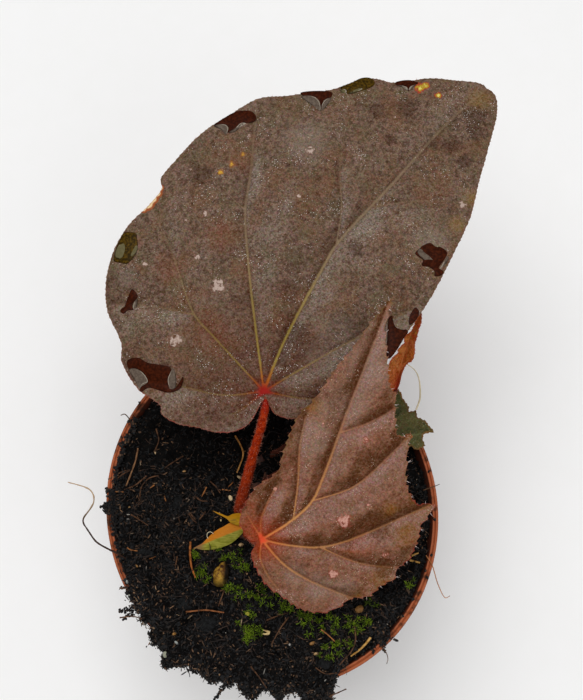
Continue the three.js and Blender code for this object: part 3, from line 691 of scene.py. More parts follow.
red_stalk = stalk_finish("red_stalk", (134, 26, 2), (190, 62, 16), (108, 46, 28), 0.6)
# A darker copy of the skin for the two low stalks: painted shade for the dark under the leaves.
shaded_stalk = stalk_finish("shaded_stalk", (84, 34, 22), (120, 60, 40), (70, 38, 28), 0.8)
hair_finish = Finish("pale_hair", Roughness=0.6, Specular_IOR_Level=0.1)
hair_finish.feed(Base_Color=hair_finish.blend(
    hair_finish.grain(2.0), colour(184, 88, 60), colour(220, 170, 148)))
picks = np.random.default_rng(11)
for name, (path, root, tip, hair_count) in STALKS.items():
    middle = smooth_through(path, 0.5)
    stalk = rods([(middle, root, tip)], 16)
    swell(stalk, 0.22, 2.6, 1)
    skin = shaded_stalk if tip < 0.8 else red_stalk
    dress(stalk, name.replace("_leaf_", "_"), skin, "red_stalk", name)
    ahead = np.gradient(middle, axis=0)
    at = picks.integers(2, len(middle) - 1, hair_count)
    around = picks.uniform(0, 2 * math.pi, hair_count)
    frame_at = aimed(ahead[at], np.ones(hair_count), np.ones(hair_count))
    out = frame_at[:, :, 0] * np.cos(around)[:, None] + frame_at[:, :, 1] * np.sin(around)[:, None]
    thick = root + (tip - root) * at / len(middle)
    roots = middle[at] + ahead[at] * picks.uniform(-0.5, 0.5, hair_count)[:, None]
    roots += out * (thick - 0.1)[:, None]
    lean = out + 0.35 * frame_at[:, :, 2] * picks.uniform(-0.6, 1, hair_count)[:, None]
    fuzz = hairs(name + "_hairs", roots, lean, picks.uniform(0.25, 0.75, hair_count), 0.055)
    dress(fuzz, name.replace("_leaf_", "_") + "_hairs", hair_finish, "red_stalk")

# Large leaf
# The broad lopsided blade over the back of the pot: one thin fleshy sheet, brown-black above with
# olive veins that start bright red at the stalk, dull red below, with fine hairs on its edge.
LARGE_LEAF = {
    "joint": (-1.6, 23.3, 102), "tilt": 5, "turn": 0, "thickness": 0.7,
    "crown": (14, 32), "crown_height": 7, "crown_radius": 55, "pucker": 1.3, "pucker_width": 7,
    "outline": [  # bearing in degrees and distance in mm from the stalk's joint
        (284, 1.8), (294, 5.5), (304, 7.4), (317, 9.7), (338, 14.4), (352, 19.4), (5, 25.3), (15, 31),
        (23, 37.8), (29, 45.5), (36, 56.5), (41, 67.3), (44.5, 74), (48, 83.5), (51, 93.5), (53, 97.4),
        (55.5, 98), (59, 94.6), (63, 91), (67.5, 85.8), (71, 84.9), (73, 83.9), (77.5, 79), (86, 75.4),
        (91.6, 74.7), (97, 71), (105, 66.4), (111, 62.3), (115.9, 59.2), (116.6, 57), (121, 55.1),
        (129, 53.5), (137, 51), (145, 47.5), (152, 43.5), (161, 36.6), (167, 35.5), (178, 30.5),
        (187, 25.1), (191.5, 25.1), (200, 21.9), (208, 17.9), (220, 14.8), (232, 12), (245, 8.4),
        (260, 2.6)],
    "veins": [  # points in mm from the joint, half widths at root and tip, how much it shows
        ([(0, 0), (4.5, 11.1), (13.5, 28.5), (17.3, 35.2), (31.3, 51.3), (46, 69), (57, 80)], .34, .16, .95),
        ([(0, 0), (-1.6, 11.8), (-3.9, 31.4), (-4.7, 44.3), (-3.5, 54.1), (-2.3, 72)], .26, .13, .92),
        ([(-4.7, 44.3), (-10, 50.1), (-15.5, 59)], .13, .06, .30),
        ([(0, 0), (-12.2, 13.3), (-16.8, 18.6), (-23, 35.4), (-28, 46)], .22, .10, .60),
        ([(-16.8, 18.6), (-27, 21), (-36, 22)], .13, .06, .25),
        ([(0, 0), (-9.6, -.8), (-20, 1.5), (-30, 3)], .19, .08, .40),
        ([(17.3, 35.2), (18.7, 44.1), (18.5, 55.4), (20.5, 70)], .16, .10, .35),
        ([(0, 0), (7, 4.1), (19.1, 11), (36, 20)], .21, .10, .50),
        ([(26, 45), (38, 47), (50, 47)], .13, .06, .25),
        ([(0, 0), (8, -1.6), (15, -2)], .16, .06, .40),
        ([(0, 0), (-5, -4), (-10, -6.5)], .16, .06, .30)],
    "edge_step": 0.5, "gap": 0.8, "tooth": 0.1, "tooth_every": 1.3, "groove": 0.45, "quilt": 0.35,
    # Beyond these mm from the joint the painted sheen and shade turn over.
    "far_turn": (52, 70),
}


def polar_points(outline):
    return np.array([(r * math.cos(math.radians(b)), r * math.sin(math.radians(b))) for b, r in outline])


def nearest(points, starts, ends):
    """For each point: mm to the nearest of these segments, its number, the share along it."""
    distance, which, share = (np.empty(len(points)) for _ in range(3))
    run = ends - starts
    length = np.maximum((run ** 2).sum(1), 1e-12)
    at_once = 2000  # points, to spare memory
    for at in range(0, len(points), at_once):
        part = slice(at, at + at_once)
        rel = points[part, None, :] - starts[None]
        t = np.clip((rel * run).sum(2) / length, 0, 1)
        gap = np.hypot(*(rel - t[..., None] * run).transpose(2, 0, 1))
        best = gap.argmin(1)
        rows = np.arange(len(best))
        distance[part], which[part], share[part] = gap[rows, best], best, t[rows, best]
    return distance, which.astype(int), share


def inside(points, loop):
    """Which points lie within a closed loop."""
    after = np.roll(loop, -1, axis=0)
    found = np.zeros(len(points), bool)
    for (ax, ay), (bx, by) in zip(loop, after):
        if ay != by:
            crosses = (ay > points[:, 1]) != (by > points[:, 1])
            found ^= crosses & (points[:, 0] < (bx - ax) * (points[:, 1] - ay) / (by - ay) + ax)
    return found


def net_over(loop, lines, extras, gap, seed):
    """Triangles over a flat loop, with edges along the lines and corners at the extra points."""
    random_net = np.random.default_rng(seed)
    low, high = loop.min(0), loop.max(0)
    across = np.arange(low[0], high[0], gap)
    up = np.arange(low[1], high[1], gap * 0.866)
    grid_x, grid_y = np.meshgrid(across, up)
    grid_x[1::2] += gap / 2
    grid = np.column_stack([grid_x.ravel(), grid_y.ravel()])
    grid += random_net.uniform(-0.16, 0.16, grid.shape) * gap
    grid = grid[inside(grid, loop)]
    after = np.roll(loop, -1, axis=0)
    grid = grid[nearest(grid, loop, after)[0] > 0.45 * gap]
    taken = np.vstack([*lines, extras])
    if len(taken):
        grid = grid[nearest(grid, taken, taken + 1e-6)[0] > 0.6 * gap]
    links = []
    count = len(loop)
    for line in lines:
        links += [(count + i, count + i + 1) for i in range(len(line) - 1)]
        count += len(line)
    points = np.vstack([loop, *lines, extras, grid])
    made = delaunay_2d_cdt([Vector(p) for p in points], links, [list(range(len(loop)))], 1, 1e-6)
    flat = np.array([p[:] for p in made[0]])
    triangles = np.array([f for f in made[2] if len(f) == 3])
    a, b, c = (flat[triangles[:, i]] for i in range(3))
    turned = (b[:, 0] - a[:, 0]) * (c[:, 1] - a[:, 1]) - (b[:, 1] - a[:, 1]) * (c[:, 0] - a[:, 0]) < 0
    triangles[turned] = triangles[turned][:, ::-1]
    new_place = {}
    for i, sources in enumerate(made[3]):
        for source in sources:
            new_place[source] = i
    return flat, triangles, [new_place[i] for i in range(len(loop))]


def slab(name, flat, triangles, rim, top, bottom, to_place):
    """A closed sheet: the same triangles on both faces, joined round the rim."""
    count = len(flat)
    points = np.vstack([np.column_stack([flat, top]), np.column_stack([flat, bottom])])
    faces = triangles.tolist() + (triangles[:, ::-1] + count).tolist()
    after = rim[1:] + rim[:1]
    faces += [[a, a + count, b + count, b] for a, b in zip(rim, after)]
    return solid_mesh(name, to_place(points), faces)


def place_of(leaf):
    """Carries rows of x, y, z from a blade's own plane to where the blade is."""
    if "length" in leaf:
        up = Vector(leaf["length"]).normalized()
        face = Vector(leaf["face"])
        face = (face - up * face.dot(up)).normalized()
        turn = np.array(Matrix((up.cross(face), up, face)).transposed())
    else:
        tilt, sway = math.radians(leaf["tilt"]), math.radians(leaf["turn"])
        turn = np.array(Matrix.Rotation(tilt, 3, "X") @ Matrix.Rotation(sway, 3, "Y"))
    return lambda points: points @ turn.T + np.array(leaf["joint"], float)


def toothed(loop, leaf):
    """The edge with its small teeth, each leaning to the tip side."""
    along = np.roll(loop, -1, axis=0) - np.roll(loop, 1, axis=0)
    along /= np.linalg.norm(along, axis=1)[:, None]
    run = np.cumsum(np.linalg.norm(loop - np.roll(loop, 1, axis=0), axis=1))
    beat = run / leaf["tooth_every"]
    beat = beat + 0.35 * np.sin(beat * 0.9) + 0.2 * np.sin(beat * 0.37 + 1)
    tooth = leaf["tooth"] * ((beat % 1.0) ** 1.5 * 2 - 0.8) * (np.linalg.norm(loop, axis=1) > 6)
    return loop + np.column_stack([along[:, 1], -along[:, 0]]) * tooth[:, None]


def panel_height(leaf, lines, flat):
    """The panels between a blade's veins stand puffed up, a little unevenly."""
    gap = nearest(flat, np.vstack([v[:-1] for v in lines]), np.vstack([v[1:] for v in lines]))[0]
    uneven = clouds(flat[:, 0], flat[:, 1], leaf["pucker_width"], 4.4)
    quilt = leaf.get("quilt", 0) * np.minimum(1, gap / 2) * uneven
    return quilt + leaf["pucker"] * (0.5 - np.exp(-gap / leaf["pucker_width"]))


def blade_height(leaf, lines, flat):
    """Height of a blade's middle over its plane: the panels on a shallow dome, or on a fold."""
    crown = np.array(leaf["crown"], float)
    bend = leaf["crown_height"] / leaf["crown_radius"] ** 2
    dome = bend * ((crown ** 2).sum() - ((flat - crown) ** 2).sum(1))
    bow, long = leaf.get("bow", (0, 1))
    fold = leaf.get("fold", 0) * abs(flat[:, 0] - bow * np.sin(math.pi * flat[:, 1] / long))
    return dome + fold + panel_height(leaf, lines, flat)


def spread_blade(name, leaf, spots=()):
    """A blade with its grooved veins, and the numbers that its finish reads at every corner."""
    loop = toothed(smooth_through(polar_points(leaf["outline"]), leaf["edge_step"], True), leaf)
    around = np.roll(loop, -1, axis=0)
    lines = [smooth_through(points, leaf["gap"]) for points, *_ in leaf["veins"]]
    starts, ends = np.vstack([v[:-1] for v in lines]), np.vstack([v[1:] for v in lines])
    halves, shows = [], []
    for line, (_, root, tip, shown) in zip(lines, leaf["veins"]):
        halves += list(np.linspace(root, tip + 0.2, len(line) - 1))
        shows += list(shown * (0.2 + 0.8 * np.linspace(1, 0, len(line) - 1) ** 1.4))
    beside = []
    for line in lines:
        ahead = np.gradient(line, axis=0)
        ahead /= np.linalg.norm(ahead, axis=1)[:, None]
        out = np.column_stack([-ahead[:, 1], ahead[:, 0]])
        beside += [line[2:-1] + out[2:-1] * 0.5, line[2:-1] - out[2:-1] * 0.5]
    beside = np.vstack(beside)
    beside = beside[nearest(beside, starts, ends)[0] > 0.4]
    ring = np.arange(10) * 2 * math.pi / 10
    for x, y, r, *_ in [spot for spot in spots if spot[2] <= 2]:  # corners round the small spots
        rings = [
            np.column_stack([x + k * r * np.cos(ring), y + k * r * np.sin(ring)]) for k in (0.55, 1, 1.5)]
        beside = np.vstack([beside[np.hypot(*(beside - (x, y)).T) > 1.7 * r], [[x, y]], *rings])
    beside = beside[inside(beside, loop)]
    beside = beside[nearest(beside, loop, around)[0] > 0.25]
    inner_lines = [line[nearest(line, loop, around)[0] > 0.3] for line in lines]
    inner_lines = [line[inside(line, loop)] for line in inner_lines]
    start = inner_lines[0][0]
    inner_lines = [line if i == 0 or np.hypot(*(line[0] - start)) > 0.2 else line[1:]
                   for i, line in enumerate(inner_lines)]
    flat, triangles, rim = net_over(loop, inner_lines, beside, leaf["gap"], 5)
    gap, which, _ = nearest(flat, starts, ends)
    half = np.array(halves)[which]
    edge_gap = nearest(flat, loop, around)[0]
    lift = blade_height(leaf, lines, flat)
    sunk = leaf["groove"] * np.minimum(1, half / 0.4) * np.exp(-(gap / (0.35 + half)) ** 2)
    thick = leaf["thickness"] * smooth_step(-0.9, 1.6, edge_gap)
    top, bottom = lift + thick / 2 - sunk, lift - thick / 2 - sunk * 1.3
    made = slab(name, flat, triangles, rim, top, bottom, place_of(leaf))
    slope_x, slope_y = (
        (panel_height(leaf, lines, flat + step) - panel_height(leaf, lines, flat - step)) / 0.8
        for step in ((0.4, 0), (0, 0.4)))
    # The slope to the window sets the painted sheen and painted shade of the leaf skin.
    to_window = 0.65 * slope_x - 0.75 * slope_y  # above 0 where the skin leans to the window's side
    if "far_turn" in leaf:
        to_window *= 1 - 1.5 * smooth_step(*leaf["far_turn"], np.hypot(*flat.T))
    numbers = {
        "vein_gap": gap, "vein_half": half, "vein_shown": np.array(shows)[which],
        "edge_gap": edge_gap, "to_window": to_window, "reach": np.hypot(*flat.T),
        "leaf_x": flat[:, 0], "leaf_y": flat[:, 1]}
    for kind in ("scar", "yellow", "ring_yellow", "dusk", "torn", "ochre", "rosy", "pale", "ring"):
        away = [np.hypot(*(flat - (x, y)).T) / r for x, y, r, its_kind in spots if its_kind == kind]
        numbers[kind] = np.minimum.reduce(away + [np.full(len(flat), 9.0)])
    mark(made, under=np.repeat([0.0, 1.0], len(flat)), **{k: np.tile(v, 2) for k, v in numbers.items()})
    smooth_faces(made, 45)
    return made, loop, lines


LARGE_SPOTS = [  # place and radius in mm, and what it is
    (11.1, 59.4, .9, "scar"), (8.4, 47.4, .4, "scar"), (-11, 25.3, 1.2, "scar"), (-16.3, 32.7, .6, "scar"),
    (-28.9, 31.3, .6, "scar"), (-21.2, 12.3, 1.2, "scar"), (-14.6, 43.6, .5, "scar"), (-19.2, 42, .3, "scar"),
    (32.4, 69.2, .3, "scar"), (48.7, 46.3, .8, "scar"), (-18.5, 55.5, .3, "scar"), (-4, 64.4, .4, "scar"),
    (-10.8, 54.5, .7, "yellow"), (-8.1, 56.4, .8, "yellow"), (-5.4, 59.2, .6, "yellow"),
    (39.2, 77.8, .8, "ring_yellow"), (40.6, 78.7, .6, "ring_yellow"), (43.6, 76.1, .5, "ring_yellow"),
    (5.7, 55.7, .7, "dusk"), (13.3, 52.4, 1, "dusk"), (17.1, 46.1, .8, "dusk"), (28.7, 52.1, .5, "dusk"),
    (31.6, 52.3, .7, "dusk"), (20.1, 30.9, .6, "dusk"), (23.3, 48.3, .5, "dusk"), (29.5, 47.7, .6, "dusk"),
    (30.4, 56.8, .7, "dusk"), (22.4, 53.6, .6, "dusk"), (16.4, 42.7, .5, "dusk"), (39.6, 61.7, .8, "dusk"),
    (52.9, 70.6, 3.6, "dusk"), (52.8, 66.5, 3, "dusk"), (46.5, 62, 2.8, "dusk"), (42, 62.6, 2, "dusk"),
    (35.6, 72.3, 3, "dusk"), (49.5, 57.5, 2.2, "dusk"), (28, 71, 2.4, "dusk"), (31, 63, 1.8, "dusk"),
    (7.5, 13, 4, "dusk"), (4.5, 8, 2.6, "dusk"), (22, 34.5, 2.4, "dusk"), (-16, 54, 3.4, "dusk"),
    (-30, 46, .7, "torn"), (-28.8, 47.1, .9, "torn"), (-27.7, 48.4, .9, "torn"), (-26.7, 49.7, .8, "torn"),
    (-25.8, 51, .5, "torn"), (54.5, 76, 4.5, "ochre"), (51, 48, 3, "ochre"), (47, 41, 3, "ochre"),
    (-10, 38, 6, "rosy"), (-6, 57, 4, "rosy"), (-23, 30, 5, "rosy"), (18.2, 16.4, 2.3, "ring"),
    (8, 48, 2.4, "ring"), (3.9, 60.8, 1.6, "ring"), (-13, 14, 7, "rosy"), (17, 14, 6, "pale"),
    (10, 62, 7, "pale"),
    (-33.4, 28.4, 3, "pale"), (8, 3, 5, "pale"), (13, 8, 6, "pale"), (40, 36, 6, "pale"),
]


def blade_finish(name, shades):
    """Leaf skin: finely mottled, with painted sheen where it leans to the window and painted shade where it leans
    away, with veins and an edge.
    """
    skin = Finish(name, Roughness=0.5, Specular_IOR_Level=0.12)

    def washed(share, shade):
        return skin.blend(share, face, colour(*shades[shade]))

    gap, half, shown = (skin.attribute(n) for n in ("vein_gap", "vein_half", "vein_shown"))
    reach, edge_gap, to_window = (skin.attribute(n) for n in ("reach", "edge_gap", "to_window"))
    fine, small, broad = skin.grain(0.28, 3.0, 0.7), skin.grain(1.1, 4.0, 0.65), skin.grain(8.0, 4.0, 0.6)
    grit, shard = skin.toss(0.3), skin.toss(0.8)
    other = skin.grain(5.0, 4.0, 0.6, shift=(31, 17, 0))
    face = skin.blend(small.rise(0.36, 0.64), colour(*shades["dark"]), colour(*shades["light"]))
    face = washed((broad + (small - 0.5) * 0.5).rise(0.44, 0.62) * 0.6, "warm")
    face = washed((other + (fine - 0.5) * 0.5).rise(0.5, 0.66) * 0.55, "olive")
    for kind, share in (("ochre", 0.8), ("rosy", 0.5), ("pale", 0.5)):
        tint = (skin.attribute(kind) + (small - 0.5) * 0.9).rise(1.1, 0.25)
        face = washed(tint * share, kind)
    # Painted sheen where the skin leans to the window, painted shade where it leans away.
    lean = to_window + (broad - 0.5) * 0.16 + (small - 0.5) * 0.14
    rough_share = (grit + fine).rise(0.5, 1.5, 0.6, 1.2)
    face = washed(lean.rise(*shades["sheen_at"]) * rough_share * shades["sheen_share"], "sheen")
    face = washed(lean.rise(*shades["shade_at"]) * shades["shade_share"], "shade")
    net = skin.cells(shades["net"], "DISTANCE_TO_EDGE", where=skin.node(
        "ShaderNodeVectorMath", {"operation": "ADD"}, {0: skin.place, 1: skin.node(
            "ShaderNodeTexNoise", {}, {"Vector": skin.place, "Scale": 0.6}, out="Color")}))
    net_line = (net + (fine - 0.5) * 0.1).rise(0.08, 0.0)
    face = washed(net_line * 0.22, "net_line")
    root = reach.rise(shades["flush_end"], 2.0)
    # Dark flanks beside the veins: painted shade in the vein grooves.
    flank = gap.rise(1.1, 0.3)
    face = washed(flank * shown * 0.6, "valley")
    face = washed(gap.rise(0.9, 0.2) * root ** 2 * 0.7, "flush")
    face = washed(reach.rise(shades["glow_end"], 1.0) * shades["glow_share"], "glow")
    # Dusk spots: small dark spots on the skin, and wider patches of painted shade, in the shade colour.
    dusk = skin.attribute("dusk") + (small - 0.5) * 1.4 + (fine - 0.5) * 0.6
    face = washed(dusk.rise(1.2, 0.6) * 0.55, "shade")
    droplet = (skin.attribute("ring") - 1 + (small - 0.5) * 0.3) ** 2
    face = washed(droplet.rise(0.03, 0.0) * 0.25, "shade")
    face = skin.blend(0.14, face, skin.cells(0.34, out="Color"), "OVERLAY")
    tone = 1 + (grit - 0.5) * shades["grit"] + (fine - 0.5) * shades["grit"]
    face = skin.blend(1.0, face, tone, "MULTIPLY")
    face = skin.blend(1.0, face, ((grit - 0.5) * 0.08 + (fine - 0.5) * 0.09) * shades["grit"], "ADD")
    # White specks: painted glints, crowded in places.
    crowd = skin.grain(6.0, 2.0, shift=(5, 50, 0)).rise(0.42, 0.62)
    speck = (skin.cells(0.5) < 0.06 + 0.11 * crowd) * (skin.grain(1.7, 2.0) > 0.44)
    face = washed(speck * (0.3 + 0.6 * crowd), "speck")
    scar = skin.attribute("scar") + (small - 0.5) * 1.3 + (shard - 0.5) * 1.1 + (fine - 0.5)
    flaked = (grit + fine).rise(0.4, 1.0, 0.5, 1.0)
    face = washed(scar.rise(1.5, 1.1) * 0.5, "scar_rim")
    face = washed(scar.rise(1.1, 0.7) * flaked * 0.9, "scar")
    yellow = skin.attribute("yellow") + (small - 0.5) * 2.4 + (fine - 0.5) * 2.0
    face = skin.blend(yellow.rise(1.5, 0.9) * 0.6, face, colour(140, 84, 34))
    face = skin.blend(yellow.rise(0.9, 0.4) * flaked * 0.85, face, colour(206, 158, 54))
    ringed = skin.attribute("ring_yellow") + (small - 0.5) * 2.2 + (shard - 0.5) + (fine - 0.5) * 1.4
    face = skin.blend(ringed.rise(1.8, 1.65) * 0.9, face, colour(160, 56, 34))
    face = skin.blend(ringed.rise(1.3, 1.15) * 0.9, face, colour(170, 142, 36))
    face = skin.blend(ringed.rise(0.6, 0.3) * flaked, face, colour(220, 204, 110))
    torn = skin.attribute("torn") + (small - 0.5) * 0.8
    face = skin.blend(torn.rise(2.0, 1.5) * 0.8, face, colour(160, 76, 30))
    face = skin.blend(torn.rise(1.3, 0.9), face, colour(226, 196, 150))
    vein = (gap / half + (small - 0.5) * 1.7 + (fine - 0.5) * 1.0).rise(1.5, 0.1) * shown
    vein_shade = skin.blend(reach.rise(14, 45), colour(*shades["vein"]), colour(*shades["vein_far"]))
    vein_shade = skin.blend(root, vein_shade, colour(*shades["vein_root"]))
    face = skin.blend(vein, face, vein_shade)
    star = reach + (small - 0.5) * 1.6 + (fine - 0.5) + gap * 2.6
    face = washed(star.rise(shades["star"], 0.4) * 0.95, "star_shade")
    edge_shade = skin.blend(broad.rise(0.4, 0.6), colour(*shades["edge"]), colour(*shades["edge_other"]))
    low_edge = skin.attribute("leaf_y").rise(*shades["low_at"])
    edge_shade = skin.blend(low_edge, edge_shade, colour(*shades["edge_low"]))
    edge_near = edge_gap + (small - 0.5) * 0.7
    patchy = other.rise(0.42, 0.56, 0.45, 1.0) * shades["edge_share"]
    face = skin.blend(edge_near.rise(*shades["edge_at"]) * patchy, face, edge_shade)
    back = skin.blend(broad.rise(0.35, 0.65), colour(*shades["back"]), colour(*shades["back_other"]))
    back = skin.blend((gap / half).rise(1.6, 0.7), back, colour(*shades["back_vein"]))
    back = skin.blend(net_line * 0.35, back, colour(*shades["back_vein"]))
    face = skin.blend(skin.attribute("under"), face, back)
    skin.feed(
        Base_Color=face, Roughness=0.5 + 0.22 * fine + 0.08 * broad,
        Normal=skin.relief(fine * 0.35 + net.rise(0.0, 0.15) * 0.3 + small * 0.8, shades["relief"]))
    return skin


large_leaf, large_edge, large_veins = spread_blade("large_blade", LARGE_LEAF, LARGE_SPOTS)
large_finish = blade_finish("dark_leaf_skin", {
    "dark": (80, 59, 45), "light": (116, 92, 78), "warm": (104, 71, 48), "olive": (90, 78, 54),
    "sheen": (134, 122, 112), "sheen_at": (0.01, 0.2), "sheen_share": 0.55,
    "shade": (60, 38, 26), "shade_at": (-0.02, -0.2), "shade_share": 0.5,
    "net": 3.4, "net_line": (120, 104, 78), "valley": (74, 44, 24), "flush": (112, 26, 14), "flush_end": 8,
    "glow": (80, 40, 26), "glow_end": 34, "glow_share": 0.5,
    "vein": (152, 130, 60), "vein_far": (156, 136, 108),
    "vein_root": (168, 92, 26), "speck": (222, 214, 208), "scar": (186, 164, 152), "scar_rim": (112, 78, 64),
    "star": 3.6, "star_shade": (142, 10, 12), "edge": (134, 80, 40), "edge_other": (92, 60, 34),
    "edge_low": (150, 54, 44), "low_at": (16, 8), "edge_share": 0.6, "edge_at": (0.28, 0.0), "grit": 0.4,
    "ochre": (120, 92, 56), "rosy": (112, 66, 44), "pale": (128, 112, 99),
    "back": (112, 38, 34), "back_other": (88, 34, 30), "back_vein": (150, 90, 62),
    "relief": 0.25})
dress(large_leaf, "large_blade", large_finish, "dark_leaf", "large_leaf_blade")

# Front leaf
# A younger, brown-pink blade with a jagged, finely toothed edge lies over the big one's right lobe.
FRONT_LEAF = {
    "joint": (-2.1, -10.6, 91), "tilt": 26.6, "turn": 5.2, "thickness": 0.65,
    "crown": (18, 12), "crown_height": 3, "crown_radius": 40, "pucker": 1.2, "pucker_width": 4,
    "outline": [
        (62.6, 60.8), (63.4, 58.4), (64.8, 51), (66.6, 46.5), (68.5, 40.6), (70.2, 36.2), (73.5, 32.3),
        (75.4, 28), (76.4, 24.2), (77.2, 21.4), (77.5, 17.6), (80.7, 16.3), (87, 14.9), (94, 13.8),
        (102, 12.1), (112, 10.2), (127, 8.4), (140, 6.7), (156, 4.6), (180, 2.8), (206, 1.4), (233, 4.2),
        (255, 6.9), (270, 10), (277, 12.4), (288, 15.5), (298, 20.6), (309, 24.7), (317, 26), (323, 27),
        (329.5, 30.3), (336, 31.5), (341, 34), (345.5, 34.3), (350, 36.2), (359, 37.8), (4, 38.7),
        (6.4, 40.4), (10.1, 42.3), (12, 38.2), (14.9, 37.3), (19.1, 36.9), (24.4, 37.8), (29, 39.6),
        (32.2, 41.2), (35.1, 43.9), (36.4, 41.6), (38.2, 41), (43, 43.5), (48.2, 47.4), (50.4, 47.7),
        (53.5, 50.5), (57, 54.4), (59.8, 58.5), (61.4, 65)],
    "veins": [
        ([(0, 0), (7.5, 5), (12, 9.5), (14.8, 15.9), (19.7, 29.3), (24.3, 40.9), (30.5, 56)], .33, .12, .95),
        ([(0, 0), (6.8, -1.6), (13.8, -2.2), (19.9, -1), (34.6, 4.9), (40.5, 7.2)], .28, .10, .80),
        ([(0, 0), (4.9, -6.1), (10.7, -10.4), (22, -16)], .28, .10, .90),
        ([(0, 0), (-.4, -4.6), (1.4, -9.2), (4, -13)], .17, .08, .55),
        ([(0, 0), (-.2, 4.7), (1.5, 9.4), (3.4, 13)], .20, .10, .35),
        ([(0, 0), (-1.9, 3.5), (-4, 7.2)], .17, .08, .50),
        ([(12, 9.5), (22.1, 12.9), (30.5, 20.1), (35, 24.5)], .16, .07, .55),
        ([(7.5, 5), (8.6, 14), (9.1, 23), (10.5, 30)], .17, .10, .65),
        ([(13.8, -2.2), (24, -6.8), (34, -8.5)], .14, .07, .45),
        ([(18.6, 26), (25, 28), (31, 31)], .13, .06, .45)],
    "edge_step": 0.32, "gap": 0.62, "tooth": 0.3, "tooth_every": 2.6, "groove": 0.4, "quilt": 0.25,
}
FRONT_SPOTS = [
    (24.6, 24.5, .55, "scar"), (19.8, 4.7, 1.2, "scar"), (17.1, -8.9, .8, "scar"), (14.5, 28.5, .3, "scar"),
    (29.8, -4.5, .5, "scar"), (25.3, 8.5, .3, "scar"), (40, 7, 7, "ochre"), (35, 1, 5, "ochre"),
    (37, 24, 4, "ochre"), (30, -11, 5, "ochre"), (22, -15.5, 3.5, "ochre"), (12, 33, 3, "ochre"),
    (31, 58, 2.6, "ochre"), (28.3, 54.4, 1.7, "rosy"), (-1, 8, 4.5, "rosy"), (-2.5, 4, 4, "rosy"),
    (2.2, 10, 2.5, "rosy"),
    (27, 50, 7, "pale"), (25, 42, 8, "pale"), (19, 33, 8, "pale"), (13, 25, 7, "pale"),
    (3.2, 12.6, .3, "scar"),
    (14, -12, 5, "pale"), (8, -9, 4, "pale"), (20, -13, 4, "pale"), (22, -1, 6, "rosy"), (31, 6, 4, "ochre"),
    (28, 3.4, 4, "dusk"), (20, 1.2, 3.4, "dusk"), (12, -.4, 2.4, "dusk"), (30, -8, 3, "dusk"),
    (24, 20.5, 2.4, "dusk")]
front_leaf, front_edge, front_veins = spread_blade("front_blade", FRONT_LEAF, FRONT_SPOTS)
front_finish = blade_finish("pink_leaf_skin", {
    "dark": (108, 67, 46), "light": (138, 95, 74), "warm": (132, 82, 62), "olive": (114, 82, 54),
    "sheen": (144, 116, 108), "sheen_at": (0.0, 0.3), "sheen_share": 0.55,
    "shade": (76, 40, 10), "shade_at": (0.01, -0.24), "shade_share": 0.95,
    "net": 2.6, "net_line": (140, 104, 82), "valley": (104, 52, 32), "flush": (150, 60, 34), "flush_end": 9,
    "glow": (144, 50, 14), "glow_end": 9, "glow_share": 0.7,
    "vein": (206, 146, 86), "vein_far": (160, 118, 88),
    "vein_root": (204, 124, 66), "speck": (214, 186, 166), "scar": (206, 154, 138), "scar_rim": (150, 66, 52),
    "star": 2.6, "star_shade": (214, 72, 40), "edge": (128, 78, 52), "edge_other": (104, 86, 46),
    "edge_low": (140, 46, 36), "low_at": (16, 8), "edge_share": 0.75, "edge_at": (0.32, 0.0), "grit": 0.3,
    "ochre": (118, 74, 18), "rosy": (134, 56, 22), "pale": (142, 118, 104),
    "back": (140, 52, 46), "back_other": (120, 48, 40), "back_vein": (176, 112, 80),
    "relief": 0.2})
dress(front_leaf, "front_blade", front_finish, "pink_leaf", "front_leaf_blade")

# Young leaf
# A new orange blade at the right back, half open along its midrib and standing on its stalk.
YOUNG_LEAF = {
    "joint": (31.3, 27.9, 85.5), "length": (5.1, 15.2, 16), "face": (-0.22, -0.68, 0.7),
    "thickness": 0.8, "fold": 0.9, "bow": (-0.7, 22.6), "crown": (0, 11), "crown_height": -0.5,
    "crown_radius": 11, "pucker": 0.3, "pucker_width": 1,
    "outline": [
        (270, .8), (71.6, 1.6), (86.6, 5), (85.5, 8), (80.8, 10.3), (82.5, 12.4), (86, 14.4), (86.6, 16.4),
        (87.5, 18.6), (87.7, 20.6), (90, 22.7), (90.8, 21.8), (91.8, 20.4), (92.1, 18.5), (93.2, 16.8),
        (96.2, 16.1), (97.6, 14.9), (96.8, 13.5), (100.2, 12.6), (102.8, 11.7), (102.2, 10.9),
        (108, 10.1), (115, 8.6), (125.8, 6.2), (139, 4), (161.6, 1.9)],
    "veins": [
        ([(0, 0), (-.45, 5), (-.68, 9.5), (-.68, 13), (-.46, 17.5), (-.05, 22)], .2, .1, .8),
        ([(-.45, 5), (-1.6, 7), (-2.6, 8.6)], .12, .06, .6),
        ([(-.66, 9), (-1.2, 11), (-1.7, 13)], .12, .06, .6),
        ([(-.45, 5), (.1, 7.5), (.9, 10)], .12, .06, .6),
        ([(-.68, 10), (0, 13), (.5, 15.5)], .12, .06, .6)],
    "edge_step": 0.25, "gap": 0.4, "tooth": 0.08, "tooth_every": 1.1, "groove": 0.1,
}
YOUNG_SPOTS = [
    (.3, 15.6, 1.3, "rosy"), (-.1, 13.6, 1, "rosy"), (.4, 19, .9, "rosy"), (-1.5, 14.5, 1.2, "ochre"),
    (-1.8, 11.5, 1.2, "ochre"), (.4, 17.2, .4, "yellow"), (-.3, 15.2, .3, "yellow")]
young_leaf, young_edge, young_veins = spread_blade("young_blade", YOUNG_LEAF, YOUNG_SPOTS)
